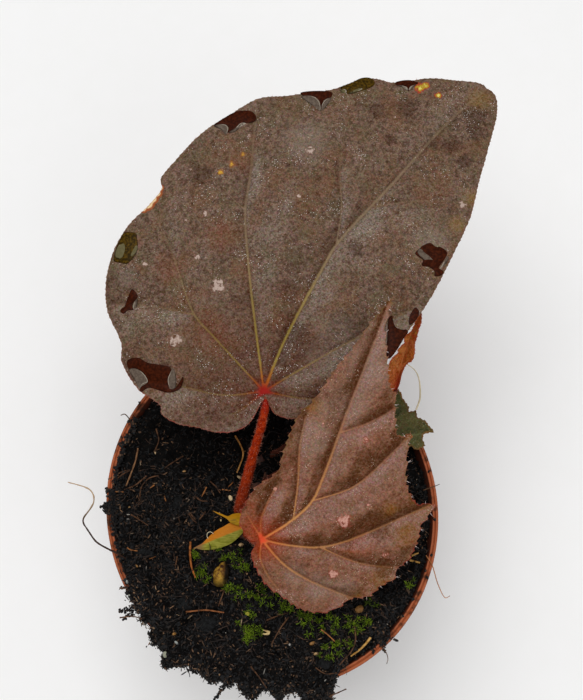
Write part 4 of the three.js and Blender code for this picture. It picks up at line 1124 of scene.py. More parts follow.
young_finish = blade_finish("orange_leaf_skin", {
    "dark": (154, 76, 26), "light": (194, 116, 50), "warm": (170, 72, 30), "olive": (180, 104, 44),
    "sheen": (206, 124, 74), "sheen_at": (0.02, 0.3), "sheen_share": 0.3,
    "shade": (110, 40, 14), "shade_at": (-0.02, -0.3), "shade_share": 0.3,
    "net": 1.8, "net_line": (206, 124, 56), "valley": (180, 84, 34), "flush": (150, 44, 24), "flush_end": 8,
    "glow": (160, 60, 26), "glow_end": 10, "glow_share": 0.4,
    "vein": (226, 160, 96), "vein_far": (226, 150, 90),
    "edge_low": (160, 56, 32), "low_at": (4, 1), "edge_at": (0.5, 0.0), "grit": 0.4,
    "ochre": (206, 130, 60), "rosy": (176, 44, 20), "pale": (216, 140, 90),
    "vein_root": (170, 60, 34), "speck": (226, 160, 120), "scar": (226, 150, 146), "scar_rim": (180, 80, 50),
    "star": 1.0, "star_shade": (150, 44, 28), "edge": (200, 90, 66), "edge_other": (160, 56, 32),
    "edge_share": 0.8, "back": (168, 76, 32), "back_other": (150, 60, 26), "back_vein": (200, 116, 62),
    "relief": 0.15})
dress(young_leaf, "young_blade", young_finish, "orange_leaf", "young_leaf_blade")

# Green leaf
# A small dark green blade low at the right, mostly covered by the front leaf, with ochre points.
GREEN_LEAF = {
    "joint": (24.5, 16.5, 79.4), "tilt": -5, "turn": 2, "thickness": 0.65,
    "crown": (8, 2), "crown_height": 2, "crown_radius": 20, "pucker": 0.7, "pucker_width": 3.5,
    "outline": [
        (195, 1.6), (240, 5.5), (275, 7.5), (305, 8.6), (330, 9.6), (340, 10.2), (349, 10.8), (346, 12.5),
        (349, 13.4), (353, 14.5), (359, 14), (3, 14.1), (6, 14.9), (7, 17.1), (13, 16), (17, 15.7),
        (21, 14.7), (25, 14), (31, 14.6), (33, 13.4), (35, 12.9), (37, 13.5), (49, 14.2), (54, 15),
        (59, 15.6), (63, 14), (74, 10.5), (92, 9), (115, 8), (140, 6), (165, 3.6)],
    "veins": [
        ([(0, 0), (9, .6), (16.5, 1.8)], .22, .1, .9), ([(0, 0), (7, 5), (10.5, 6.8)], .18, .08, .7),
        ([(0, 0), (3, 7), (4, 11)], .16, .08, .6), ([(0, 0), (6, -4.5), (9.5, -5)], .16, .08, .5)],
    "edge_step": 0.3, "gap": 0.5, "tooth": 0.16, "tooth_every": 1.2, "groove": 0.25,
}
green_leaf, green_edge, green_veins = spread_blade("green_blade", GREEN_LEAF)
green_finish = blade_finish("green_leaf_skin", {
    "dark": (60, 62, 34), "light": (82, 84, 48), "warm": (84, 70, 36), "olive": (68, 74, 38),
    "sheen": (96, 98, 62), "sheen_at": (0.03, 0.2), "sheen_share": 0.35,
    "shade": (44, 42, 22), "shade_at": (-0.03, -0.2), "shade_share": 0.5,
    "net": 1.9, "net_line": (100, 100, 60), "valley": (84, 84, 46), "flush": (100, 60, 34), "flush_end": 5,
    "glow": (92, 62, 36), "glow_end": 7, "glow_share": 0.4,
    "vein": (124, 128, 84), "vein_far": (110, 112, 74),
    "edge_low": (140, 92, 42), "low_at": (0, -4), "edge_at": (0.6, 0.1), "grit": 0.2,
    "ochre": (96, 76, 36), "rosy": (84, 58, 38), "pale": (100, 104, 66),
    "vein_root": (130, 90, 50), "speck": (150, 150, 120), "scar": (180, 150, 120), "scar_rim": (110, 80, 50),
    "star": 1.2, "star_shade": (120, 60, 34), "edge": (134, 88, 40), "edge_other": (92, 62, 34),
    "edge_share": 0.9, "back": (104, 70, 48), "back_other": (88, 60, 40), "back_vein": (140, 120, 74),
    "relief": 0.2})
dress(green_leaf, "green_blade", green_finish, "green_leaf", "green_leaf_blade")

# Edge hairs
# Short pale hairs stand on the rims of the four blades, and strong bristles in pairs on the right
# of the toothed front one.
bristle_finish = Finish("white_bristle", Roughness=0.5)
bristle_finish.feed(Base_Color=bristle_finish.blend(
    bristle_finish.grain(2.0), colour(222, 190, 182), colour(248, 240, 236)))
for name, leaf, loop, lines, every, long, thick, from_x in (
        ("large_blade_hairs", LARGE_LEAF, large_edge, large_veins, 3, 0.5, 0.05, -50),
        ("front_blade_hairs", FRONT_LEAF, front_edge, front_veins, 5, 0.7, 0.05, -50),
        ("front_blade_bristles", FRONT_LEAF, front_edge, front_veins, 14, 1.05, 0.06, 19),
        ("young_blade_hairs", YOUNG_LEAF, young_edge, young_veins, 3, 0.45, 0.05, -50),
        ("green_blade_hairs", GREEN_LEAF, green_edge, green_veins, 6, 0.4, 0.04, -50)):
    along = np.roll(loop, -1, axis=0) - np.roll(loop, 1, axis=0)
    along /= np.linalg.norm(along, axis=1)[:, None]
    out = np.column_stack([along[:, 1], -along[:, 0]])
    at = np.arange(0, len(loop), every)
    at = at[(picks.random(len(at)) < 0.8) & (loop[at][:, 0] > from_x)]
    at = np.repeat(at, 2) if thick > 0.055 else at  # the strong ones stand in pairs
    lean = out[at] + along[at] * picks.uniform(-0.5, 0.5, len(at))[:, None]
    lift = blade_height(leaf, lines, loop[at])
    root = np.column_stack([loop[at] - out[at] * 0.1, lift])
    tip = np.column_stack([loop[at] + lean, lift + picks.uniform(-0.2, 0.5, len(at))])
    carry = place_of(leaf)
    lengths = long * picks.uniform(0.5, 1.3, len(at))
    fringe = hairs(name, carry(root), carry(tip) - carry(root), lengths, thick)
    dress(fringe, name, bristle_finish if thick > 0.055 else hair_finish, "red_stalk")

# Sheaths
# Two dry sheaths that once wrapped the growing tip: a yellow one with a hair-fine point, and a
# fleshy green one edged with orange. They clasp the stem where the stalks start.
SHEATHS = {
    "upper_sheath": ({
        "joint": (-8.2, -4.4, 76.2), "tilt": -6, "turn": 6, "thickness": 0.6,
        "crown": (0, 0), "crown_height": 0.5, "crown_radius": 6, "pucker": -0.5, "pucker_width": 1.5,
        "outline": [
            (0, 1.4), (55, 2.0), (87, 2.3), (128, 2.7), (153, 3.3), (155, 4.8), (155.5, 6), (156, 7.4),
            (158.6, 6), (160.6, 4.7), (167, 3.2), (182, 2.3), (200, 1.5), (249, 0.9), (310, 1.0)],
        "veins": [([(0, 0), (-4, 0.8)], .12, .06, 0)],
        "edge_step": 0.25, "gap": 0.35, "tooth": 0, "tooth_every": 1, "groove": 0.05},
        (130, 98, 4), (170, 128, 8), (168, 116, 6)),
    "lower_sheath": ({
        "joint": (-10.8, -8.6, 75.6), "tilt": 4, "turn": 1, "thickness": 0.7,
        "crown": (0, 0), "crown_height": 0.5, "crown_radius": 6, "pucker": -0.8, "pucker_width": 1.6,
        "outline": [
            (40, 5.4), (60, 5.2), (85, 4.2), (114, 3.5), (148, 4.0), (174, 5.2), (187.7, 6.7), (192, 8.4),
            (195.1, 10.4), (196.2, 8.5), (202, 7), (214, 4.5), (232, 2.4), (290, 1.2), (10, 2.4), (30, 4.4)],
        "veins": [([(2, 0), (-6, 0)], .12, .06, 0)],
        "edge_step": 0.25, "gap": 0.35, "tooth": 0, "tooth_every": 1, "groove": 0.05},
        (112, 112, 26), (146, 142, 56), (192, 104, 6)),
}
for name, (sheath, deep_shade, light_shade, edge_shade) in SHEATHS.items():
    piece, *_ = spread_blade(name, sheath)
    sheath_finish = Finish(name + "_skin", Roughness=0.5, Specular_IOR_Level=0.12)
    streaks = sheath_finish.grain(1.0, 4.0, stretch=(0.5, 2.5, 1))
    shade = sheath_finish.blend(streaks.rise(0.35, 0.65), colour(*deep_shade), colour(*light_shade))
    leaf_x, leaf_y = sheath_finish.attribute("leaf_x"), sheath_finish.attribute("leaf_y")
    upper_side = (leaf_y - leaf_x * 0.4 + (streaks - 0.5) * 0.5).rise(1.1, 1.6)
    shade = sheath_finish.blend(upper_side * 0.8, shade, colour(*edge_shade))
    tip = leaf_x.rise(-5.5, -7.5)
    shade = sheath_finish.blend(tip * 0.8, shade, colour(124, 86, 60))
    spots = sheath_finish.grain(0.5, 2.0).rise(0.66, 0.72)
    shade = sheath_finish.blend(spots * 0.5, shade, colour(120, 84, 30))
    sheath_finish.feed(
        Base_Color=shade, Roughness=0.35 + 0.3 * streaks, Normal=sheath_finish.relief(streaks, 0.15))
    dress(piece, name, sheath_finish, "sheath", name)

# Water on the large leaf
# Films of water lie along the big blade's edge. They darken the skin to a deep red-brown or olive under them.
# Curved grey patches along one side are painted reflections of the sky, each with a painted highlight
# on the edge towards the film's middle and painted shade on the other edge.
WATER = [  # in the blade's plane: a film's outline, its sky patches, and 1 where it is olive
    ([(-12.8, 67.2), (-7.5, 71), (-5.6, 71.3), (-3.7, 71.2), (-2.4, 70), (-2.5, 68.5), (-4.1, 67.8),
      (-5.5, 67.8), (-6.7, 66.9), (-9.4, 65.1), (-9.1, 66.4), (-9.9, 67.3), (-11.5, 67.5)],
     [[(-12.7, 67), (-11.5, 67.4), (-9.8, 67.2), (-9.3, 66.4), (-9.7, 64.6), (-11, 66)],
      [(-9.1, 65.1), (-7.4, 66.4), (-6, 67.8), (-4.8, 67.7), (-6.2, 66.7), (-7.4, 65.4)]], 0),
    ([(8.8, 75.8), (9.5, 75), (12.4, 74.7), (13.6, 73.3), (13.8, 70.5), (14.2, 72.4), (14.8, 73.8),
      (16.5, 74.7), (16.7, 76.1)],
     [[(9, 74.7), (10.7, 75), (12.4, 74.5), (13.5, 73.1), (13.7, 70.7), (12.2, 71.9), (10.7, 73)],
      [(14.1, 70.8), (14.3, 72.7), (15.3, 74.1), (16.6, 74.5), (16, 73.3), (15, 71.6)]], 0),
    ([(18.8, 77.5), (21.7, 78.9), (24.1, 80.2), (26, 80.4), (27.1, 79.9), (27.6, 79), (27.1, 77.9),
      (24, 76.4), (20.9, 75.6), (20.3, 76.1), (19.2, 76.9)],
     [[(21, 75.7), (22.4, 77), (24, 77.5), (24.4, 77.1), (23, 76.3)],
      [(18.8, 76.6), (19.9, 77), (20.4, 76.4), (19.7, 75.9)]], 1),
    ([(32.8, 79.2), (33.8, 79.7), (36.7, 80.1), (38.7, 79.3), (38.1, 78.9), (36.8, 78), (36, 76.7),
      (35.5, 77.8), (34.5, 78.4), (33.1, 78.5)],
     [[(33.1, 78.4), (34.5, 78.3), (35.7, 77.8), (35.8, 77), (34.3, 77.9)],
      [(36.1, 77), (36.6, 78.1), (38.1, 78.9), (37.6, 78.2)]], 0),
    ([(-34.7, 39.6), (-33.5, 39.8), (-31.5, 39.2), (-31.3, 38.1), (-31, 36.2), (-31.4, 34.1),
      (-33.5, 31.7), (-35.2, 32), (-36.9, 32.5), (-36.9, 33.9), (-36.3, 36.4), (-35.4, 38.2)],
     [[(-34.3, 37.3), (-33.7, 36.2), (-33.6, 35), (-34.4, 33.2), (-35.4, 32.8), (-36.6, 33.6),
       (-36.6, 35), (-35.5, 36.7)],
      [(-32.9, 33.3), (-32.8, 34.4), (-31.6, 36.1), (-31.1, 36.1), (-31.2, 34.7), (-32.1, 33.6)]], 1),
    ([(-32.2, 25.4), (-30.8, 23.7), (-31.1, 23), (-32.1, 21.9), (-32.1, 21), (-31.8, 20.3),
      (-33.2, 20.2), (-34.2, 19.4), (-35.1, 20), (-35, 20.6), (-34.1, 21.3), (-33.2, 23.7)],
     [[(-31.9, 21.2), (-31.5, 22.5), (-30.9, 23), (-31.1, 21.3), (-31.8, 20.4)]], 0),
    ([(-33.2, 7.8), (-32.3, 8.4), (-30.3, 8.5), (-28.1, 7.3), (-25.7, 6.8), (-22.5, 5.9), (-22.4, 4),
      (-22.8, 1.1), (-21.7, .9), (-20.4, 2.3), (-19.4, 3.8), (-19.3, 2.9), (-20.4, .7), (-23, 0),
      (-25, .5), (-27.8, 1.3), (-29.7, .4), (-30, .9), (-29.6, 1.7), (-28.1, 2.7), (-29.2, 4.9),
      (-31.4, 6.1), (-32.7, 5.9)],
     [[(-32.7, 5.8), (-31.4, 6.1), (-29.2, 4.8), (-28.1, 2.8), (-29.4, 2.2), (-30, 1.3), (-31.4, 3.5)],
      [(-21.9, 5.7), (-21.2, 4), (-21.2, 1.5), (-21.6, 1), (-22.6, 1.2), (-23.1, 3.2), (-22.5, 4.7)]], 0),
    ([(36.3, 33.1), (37.2, 34.2), (38.4, 35.3), (40.2, 35.9), (41.4, 35), (42.7, 34.9), (44.2, 33.6),
      (43.5, 31.9), (42.1, 29.7), (43.2, 29), (42.7, 28), (41, 27.7), (41, 28.9), (39.6, 29.9),
      (37.9, 30.2), (38.2, 31.5), (37.3, 32.2)],
     [[(36.9, 33.4), (37.4, 34.4), (39.3, 33.5), (40.9, 32.3), (41.6, 31.2), (40, 31.2), (38.2, 31.9)],
      [(44.3, 32.8), (43.4, 31.4), (42.3, 29.5), (43.4, 30.4), (44.5, 32.1)]], 0),
    ([(30.6, 18), (30.9, 16.5), (31.4, 15.3), (32.7, 14.6), (34.1, 14.6), (34.4, 14.1), (33.5, 12.7),
      (31.4, 9.3), (29.7, 7.5), (29.1, 8.7), (29.3, 11.8), (29.9, 17.4)], [], 0),
    ([(36.3, 20.1), (37.1, 19.2), (36.7, 17.5), (34.8, 15.8), (34.7, 17.4), (35.2, 18.7)], [], 0),
]
FILM_RISE, PATCH_RISE, SKIRT = 0.16, 0.1, 0.15  # mm above the skin, above the film, and into the skin

to_large = place_of(LARGE_LEAF)
film_points, film_faces, film_numbers, offset = [], [], [], 0
for outline, patches, olive in WATER:
    film_middle = np.mean(outline, axis=0)
    for number, ring in enumerate([outline, *patches]):
        sky = number > 0
        loop = smooth_through(ring, 0.3, True)
        if ((loop[:, 0] * np.roll(loop[:, 1], -1)) - (np.roll(loop[:, 0], -1) * loop[:, 1])).sum() < 0:
            loop = loop[::-1]
        flat, triangles, rim = net_over(loop, [], np.empty((0, 2)), 0.4, 3)
        from_rim = nearest(flat, loop, np.roll(loop, -1, axis=0))[0]
        out = flat - loop.mean(0)
        towards = film_middle - loop.mean(0)
        facing = out @ towards / (np.linalg.norm(out, axis=1) * np.linalg.norm(towards) + 1e-6)
        skin_top = blade_height(LARGE_LEAF, large_veins, flat) + LARGE_LEAF["thickness"] / 2
        swelling = FILM_RISE * (1 - np.exp(-from_rim / 0.9))
        top = skin_top + (PATCH_RISE if sky else 0.03) + swelling
        piece = slab("film", flat, triangles, rim, top, skin_top - SKIRT, to_large)
        film_points.append(corners_of(piece))
        film_faces += [[v + offset for v in face.vertices] for face in piece.data.polygons]
        offset += len(film_points[-1])
        film_numbers.append(np.tile(np.column_stack([
            from_rim, np.full(len(flat), float(sky)), np.full(len(flat), float(olive)), facing]), (2, 1)))
        bpy.data.objects.remove(piece)
water = solid_mesh("water_films", np.vstack(film_points), film_faces)
film_numbers = np.vstack(film_numbers)
mark(water, **dict(zip(("from_rim", "sky", "olive", "facing"), film_numbers.T)))
smooth_faces(water, 60)
water_finish = Finish("wet_film", Roughness=0.35, Specular_IOR_Level=0.03)
from_rim, sky, facing = (water_finish.attribute(n) for n in ("from_rim", "sky", "facing"))
mottle = water_finish.grain(0.6, 4.0)
wet = water_finish.blend(mottle.rise(0.35, 0.7), colour(40, 12, 3), colour(66, 25, 8))
wet_olive = water_finish.blend(mottle.rise(0.35, 0.7), colour(38, 27, 4), colour(84, 62, 12))
wet = water_finish.blend(water_finish.attribute("olive"), wet, wet_olive)
wet = water_finish.blend(from_rim.rise(0.3, 0.0) * 0.6, wet, colour(26, 10, 5))
# Painted highlight on the patch edge that faces the film's middle.
bright_rim = from_rim.rise(0.2, 0.05) * facing.rise(0.0, 0.7)
# Painted reflection of the sky in the patches.
painted_reflection = water_finish.blend(mottle.rise(0.3, 0.7), colour(78, 66, 57), colour(102, 90, 79))
painted_reflection = water_finish.blend(water_finish.attribute("olive") * 0.6, painted_reflection, colour(96, 92, 52))
# Painted shade on the opposite patch edge.
dim_rim = from_rim.rise(0.3, 0.0) * facing.rise(0.1, -0.6)
painted_reflection = water_finish.blend(dim_rim * 0.8, painted_reflection, colour(36, 26, 20))
painted_reflection = water_finish.blend(bright_rim, painted_reflection, colour(154, 144, 130))
water_finish.feed(Base_Color=water_finish.blend(sky, wet, painted_reflection))
dress(water, "water_films", water_finish, "dark_leaf")

# Straws, husk and curled root
# Bits of dry straw lie on the peat, with a split yellow-brown husk, and a wiry black root curls up
# out of the peat and over the left of the rim.
peat_corners = corners_of(peat)[:len(top_x)]
peat_finder = kdtree.KDTree(len(peat_corners))
for i, (x, y, _) in enumerate(peat_corners):
    peat_finder.insert((x, y, 0), i)
peat_finder.balance()


def peat_surface(x, y):
    """Height of the crumbled peat at a place: the highest of its four nearest corners."""
    return max(peat_corners[i][2] for _, i, _ in peat_finder.find_n((x, y, 0), 4))


def dry_finish(name, deep, light, size=1.2):
    dry = Finish(name, Roughness=0.7, Specular_IOR_Level=0.1)
    streaks = dry.grain(size, 5.0, 0.65)
    dry.feed(
        Base_Color=dry.blend(streaks.rise(0.32, 0.68), colour(*deep), colour(*light)),
        Roughness=0.5 + 0.3 * streaks, Normal=dry.relief(streaks, 0.12))
    return dry


STRAW_SHADES = {
    "straw_left": ((78, 54, 38), (140, 102, 70)), "straw_pale": ((150, 98, 44), (204, 150, 84)),
    "straw_heel": ((84, 50, 22), (174, 100, 46)), "straw_front": ((88, 54, 32), (152, 94, 56)),
}
for name, (path, radius) in STRAWS.items():
    plan = smooth_through(path, 0.5)
    under = np.array([peat_surface(x, y) for x, y in plan])
    under = np.convolve(np.pad(under, 3, mode="edge"), np.ones(7) / 7, mode="valid")
    lie = np.maximum(peat_level(plan[:, 0], plan[:, 1]), under) + 0.25
    straw = rods([(np.column_stack([plan, lie]), radius, radius * 0.75)], 10)
    swell(straw, 0.12, 0.9, 4)
    dress(straw, name, dry_finish(name + "_skin", *STRAW_SHADES[name]), "dry_fibre", name)

ROOT_PATH = [
    (-34.8, -14.4, 73.6), (-38.5, -12.3, 76.2), (-41.4, -10.9, 77.1), (-43.8, -9.5, 77.5),
    (-46, -6.7, 77.7), (-47.4, -4.2, 77.9), (-45.7, -1.4, 78.3), (-44.7, .4, 79), (-44.9, 2.2, 79.6),
    (-46.1, 3.5, 80), (-51.1, 5, 81)]
root = rods([(smooth_through(ROOT_PATH, 0.4), 0.26, 0.14)], 8)
swell(root, 0.1, 0.8, 2)
root_finish = Finish("black_root", Roughness=0.6, Specular_IOR_Level=0.15)
root_out = root_finish.reading("Y")
streaks = root_finish.grain(1.2, 4.0)
root_shade = root_finish.blend(streaks, colour(26, 16, 12), colour(72, 46, 34))
root_shade = root_finish.blend(root_out.rise(-5.5, 2.5), root_shade, colour(176, 146, 112))
root_finish.feed(Base_Color=root_shade, Normal=root_finish.relief(streaks, 0.12))
dress(root, "curled_root", root_finish, "dry_fibre", "curled_root")

FREE_FIBRES = {  # two shades, then each fibre's path in mm and its radius at the root and the tip
    "pale_fibres": ((184, 168, 130), (222, 210, 182), [
        ([(33.2, 33.4, 90.4), (34.2, 32.9, 90.0), (36.0, 32.1, 88.0), (37.1, 30.6, 86.0), (37.6, 28.0, 84.0),
          (37.6, 25.9, 82.0), (36.8, 23.7, 80.6)], 0.1, 0.24),
        ([(-14.7, -7.3, 76.0), (-15.4, -6.8, 76.1), (-16.2, -7.1, 76.1), (-16.3, -8.0, 76.0),
          (-16.0, -8.5, 75.9)], 0.09, 0.07)]),
    "tan_rim_fibre": ((130, 80, 46), (184, 124, 76), [
        ([(38.8, -12.6, 75.1), (40.1, -14.8, 75.4), (41.6, -20, 75.3), (43.3, -23, 74.7),
          (44.5, -22.5, 74.3)], 0.14, 0.09)]),
    "rim_fibres": ((40, 26, 20), (104, 74, 50), [
        ([(-36.6, 21.2, 74.6), (-37.4, 22.8, 75.3), (-38.4, 23.7, 75.5), (-39.4, 23.4, 75.4)], 0.16, 0.12),
        ([(38.6, 3.9, 75.1), (40.4, 4.5, 75.3), (42.8, 5.4, 75.1)], 0.14, 0.08),
        ([(26.8, -34.6, 75.8), (28.1, -36.1, 75.7), (28.6, -37.7, 75.3), (28.3, -38.9, 75.0)], 0.12, 0.08)]),
}
for name, (deep_shade, light_shade, fibres) in FREE_FIBRES.items():
    runs = [(smooth_through(path, 0.4), root_radius, tip_radius) for path, root_radius, tip_radius in fibres]
    dress(rods(runs, 6), name, dry_finish(name + "_skin", deep_shade, light_shade), "dry_fibre")

bpy.ops.object.select_all(action="DESELECT")
bpy.ops.mesh.primitive_uv_sphere_add(segments=36, ring_count=24, radius=MM)
husk = bpy.context.object
egg = corners_of(husk)
taper = 1 - 0.3 * egg[:, 1] - 0.2 * egg[:, 1] ** 2
egg = egg * HUSK_RADII * np.column_stack([taper, np.ones(len(egg)), taper])
turn = math.radians(HUSK_TURN)
egg = np.column_stack([
    egg[:, 0] * math.cos(turn) - egg[:, 1] * math.sin(turn),
    egg[:, 0] * math.sin(turn) + egg[:, 1] * math.cos(turn), egg[:, 2]]) + HUSK_PLACE
move_corners(husk, egg)
swell(husk, 0.35, 1.3, 9)
smooth_faces(husk, 60)
husk_finish = Finish("husk_skin", Roughness=0.6, Specular_IOR_Level=0.1)
husk_across = husk_finish.reading("X")
husk_along = husk_finish.reading("Y")
blotch = husk_finish.grain(1.0, 5.0, 0.6)
shade = husk_finish.blend(blotch.rise(0.38, 0.62), colour(84, 50, 16), colour(160, 122, 42))
# Painted shade: the right side of the husk is painted near black.
shade = husk_finish.blend((husk_across + (blotch - 0.5) * 2.0).rise(-12.4, -11.4), shade, colour(24, 17, 10))
# A dark spot near the top: painted shade for a hole in the husk.
hole = husk_finish.node("ShaderNodeVectorMath", {"operation": "DISTANCE"}, {
    0: husk_finish.place, 1: (-12.4, -15.4, 77.2)}, out="Value")
shade = husk_finish.blend((hole + (blotch - 0.5) * 0.9).rise(0.7, 0.45), shade, colour(56, 32, 20))
shade = husk_finish.blend((husk_along + (blotch - 0.5)).rise(-18.2, -19.8) * 0.7, shade, colour(74, 62, 26))
husk_finish.feed(Base_Color=shade, Roughness=0.35 + 0.3 * blotch, Normal=husk_finish.relief(blotch, 0.3))
dress(husk, "husk", husk_finish, "sheath", "husk")

# Loose litter
# Fine roots and broken stems on the peat, seeds, grains and a few dark pebbles.
LITTER = {
    "dark_fibres": ((44, 29, 20), (104, 72, 50), 0.19, [
        [(-23.2, 13.3), (-25.6, 11.6), (-27.8, 10)],
        [(-29.4, 8.2), (-31.7, 7.4), (-33.5, 5.4), (-34, 3.3), (-33.8, 1.6)],
        [(-32.5, 7.9), (-34.8, 5.7), (-37.7, 3.9)], [(-35.7, -2.4), (-33.6, -3.6), (-31.4, -5)],
        [(-16.1, 6.7), (-14.6, 5.3), (-13.4, 3.6)], [(-20.6, -2.1), (-19.4, -3.6)],
        [(-12.8, -21.5), (-11.9, -21.2), (-13, -25.2)], [(-1.1, -28.6), (1.6, -27.5), (4.5, -26.6)],
        [(4.2, -27.9), (2.3, -30.5), (.2, -34.2)],
        [(20.4, -28.5), (20.6, -33.5), (19.8, -35.6), (16.6, -39.2)],
        [(10.8, -39.8), (13.2, -41.2), (16, -41)], [(-4.8, -39.6), (-2.9, -41.9), (-1, -44.5)],
        [(-23.8, -12.9), (-24, -15.8)], [(14.1, -46.6), (18.3, -44.8)],
        [(-30.4, 20.4), (-29.6, 17.2), (-30.6, 14.6)],
        [(-42, 6.7), (-38.9, 8.4), (-36.4, 9.1)], [(-21.2, -1.9), (-20.1, -3.5), (-19.1, -4.3)],
        [(-18.4, -3.5), (-16.9, -1.5)],
        [(-40.6, 6.3), (-38.6, 7.6), (-36.5, 8.9)], [(-19.6, 2.4), (-18.2, 1.4), (-16.4, 1.2)],
        [(-37.4, -20.9), (-35.6, -21)], [(-36.8, -28.1), (-33.6, -27.8), (-31.6, -28.3)]]),
    "tan_fibres": ((92, 54, 28), (176, 116, 66), 0.18, [
        [(-40.2, 3.5), (-37.7, 3.2)], [(-16.9, 5), (-18, 2.5)], [(-10.1, 6.4), (-11.4, 5)],
        [(-12.9, 4.5), (-10.7, 4.2)],
        [(-36.1, -10.9), (-35.3, -11.4), (-33.5, -11.6)], [(-30.8, -13.4), (-29.2, -12.8)],
        [(12.2, -30.7), (13.9, -32), (15.6, -33.6)], [(-30.2, 5.4), (-31.3, 4.6)],
        [(-27.7, 2.7), (-27.2, 1.3)]]),
    "ochre_straws": ((150, 108, 50), (206, 162, 92), 0.32, [
        [(24.3, -32.7), (22.3, -35), (19.5, -37.1)], [(34.9, -13.7), (37.1, -14.4)],
        [(35.3, -12.5), (37.1, -11.8)]]),
}
for name, (deep_shade, light_shade, radius, paths) in LITTER.items():
    runs = []
    for path in paths:
        plan = smooth_through(path, 0.5)
        lie = np.array([peat_surface(x, y) for x, y in plan])
        lie = np.convolve(np.pad(lie, 2, mode="edge"), np.ones(5) / 5, mode="valid") + radius + 0.25
        runs.append((np.column_stack([plan, lie]), radius, radius * 0.6))
    strands = rods(runs, 6)
    swell(strands, 0.08, 0.9, 6)
    dress(strands, name, dry_finish(name + "_skin", deep_shade, light_shade), "dry_fibre")

GRAINS = [  # plan place, radius, stretch, shade: 0 brown, 0.3 ochre, 0.55 cream, 0.75 yellow, 1 grey
    (-30.5, 14.2, .36, 1.2, .5), (-37.6, -12.1, .36, 1, .4), (-22.7, 9.1, .4, 1.3, .35),
    (-36.2, -.5, .3, 1, .35), (-8.6, 8.0, .6, 1.2, .5), (-10.6, 2, .6, 1.3, .55), (-13, -3.6, .3, 1, .6),
    (-5.8, -27.1, .6, 1, .75), (-23.5, -31.9, .5, 1.3, .3), (-33.4, -15.5, .4, 1, .2),
    (21.9, -25.7, 1.2, 1.2, .15), (10.1, -34.1, .6, 1.5, .2), (11, -36.5, .5, 1.4, .4),
    (-7.8, -9.9, .7, 1.5, .45), (-25.5, -36.8, .7, 1.3, .9), (-22.9, -34, .4, 1.2, 1),
    (-35.6, -19.4, .4, 1.4, 1), (-34.8, -22.7, .3, 1.2, .95)]


def lump_pattern(subdivisions, rough, seed):
    """A rough round lump, 1 mm in radius."""
    bpy.ops.object.select_all(action="DESELECT")
    bpy.ops.mesh.primitive_ico_sphere_add(subdivisions=subdivisions, radius=MM)
    bpy.ops.object.mode_set(mode="EDIT")
    bpy.ops.mesh.select_all(action="SELECT")
    bpy.ops.transform.vertex_random(offset=rough * MM, uniform=0.3, seed=seed)
    bpy.ops.object.mode_set(mode="OBJECT")
    return bpy.context.object


def tumbled(count, sizes, picks):
    """Random turns for lumps, each stretched by its own three sizes."""
    axes = picks.normal(size=(count, 4))
    axes /= np.linalg.norm(axes, axis=1)[:, None]
    w, x, y, z = axes.T
    turn = np.stack([
        1 - 2 * (y * y + z * z), 2 * (x * y - z * w), 2 * (x * z + y * w),
        2 * (x * y + z * w), 1 - 2 * (x * x + z * z), 2 * (y * z - x * w),
        2 * (x * z - y * w), 2 * (y * z + x * w), 1 - 2 * (x * x + y * y)], axis=1).reshape(-1, 3, 3)
    return turn * sizes[:, None, :]


grain_rows = np.array(GRAINS)
grain_places = np.array([[x, y, peat_surface(x, y) + 0.4 * r] for x, y, r, *_ in GRAINS])
grain_radii = grain_rows[:, 2]
grain_sizes = np.column_stack([grain_radii * grain_rows[:, 3], grain_radii * 0.8, grain_radii * 0.6])
grains = copies("grains", lump_pattern(3, 0.22, 2), tumbled(len(GRAINS), grain_sizes, picks), grain_places,
                grain_rows[:, 4])
smooth_faces(grains, 80)
grain_finish = Finish("seed_coats", Roughness=0.5)
grain_shade = grain_finish.node("ShaderNodeValToRGB", {"stops": [
    (0.0, colour(84, 58, 36)), (0.3, colour(160, 112, 50)), (0.55, colour(216, 190, 146)),
    (0.75, colour(198, 184, 66)), (0.85, colour(150, 150, 120)), (1.0, colour(146, 150, 146))]},
    {0: grain_finish.attribute("tone")}, out="Color")
speckle = grain_finish.grain(0.5, 4.0)
grain_finish.feed(
    Base_Color=grain_finish.blend(speckle.rise(0.5, 0.7) * 0.5, grain_shade, colour(90, 64, 36)),
    Normal=grain_finish.relief(speckle, 0.2))
dress(grains, "grains", grain_finish, "dry_fibre")

PEBBLES = [  # plan place, three radii, turn
    (-31.9, -12.0, 2.4, 1.0, 0.8, -8), (-24.1, .6, 2.0, 1.9, 1.0, 30), (-21.9, -24.8, 2.5, 1.7, 1.1, 0),
    (-15.9, -29.8, 2.9, 1.9, 1.3, 15), (12.9, -38.8, 1.5, 1.3, 1.0, 0)]
pebble_turns = np.array([
    np.array(Matrix.Rotation(math.radians(t), 3, "Z")) * (a, b, c) for _, _, a, b, c, t in PEBBLES])
pebble_places = np.array([[x, y, peat_surface(x, y) - 0.15 * c] for x, y, _, _, c, _ in PEBBLES])
pebbles = copies("pebbles", lump_pattern(4, 0.0, 1), pebble_turns, pebble_places)
swell(pebbles, 0.7, 1.8, 5)
swell(pebbles, 0.4, 0.6, 8)
smooth_faces(pebbles, 80)
pebble_finish = Finish("dark_stone", Roughness=0.8, Specular_IOR_Level=0.15)
speckle = pebble_finish.grain(0.8, 5.0, 0.65)
pebble_shade = pebble_finish.blend(speckle.rise(0.35, 0.7), colour(9, 9, 9), colour(34, 35, 36))
pebble_shade = pebble_finish.blend(
    pebble_finish.grain(2.5).rise(0.6, 0.7) * 0.4, pebble_shade, colour(48, 38, 41))
pebble_finish.feed(
    Base_Color=pebble_shade, Roughness=0.6 + 0.3 * speckle, Normal=pebble_finish.relief(speckle, 0.9))
dress(pebbles, "pebbles", pebble_finish, "peat")

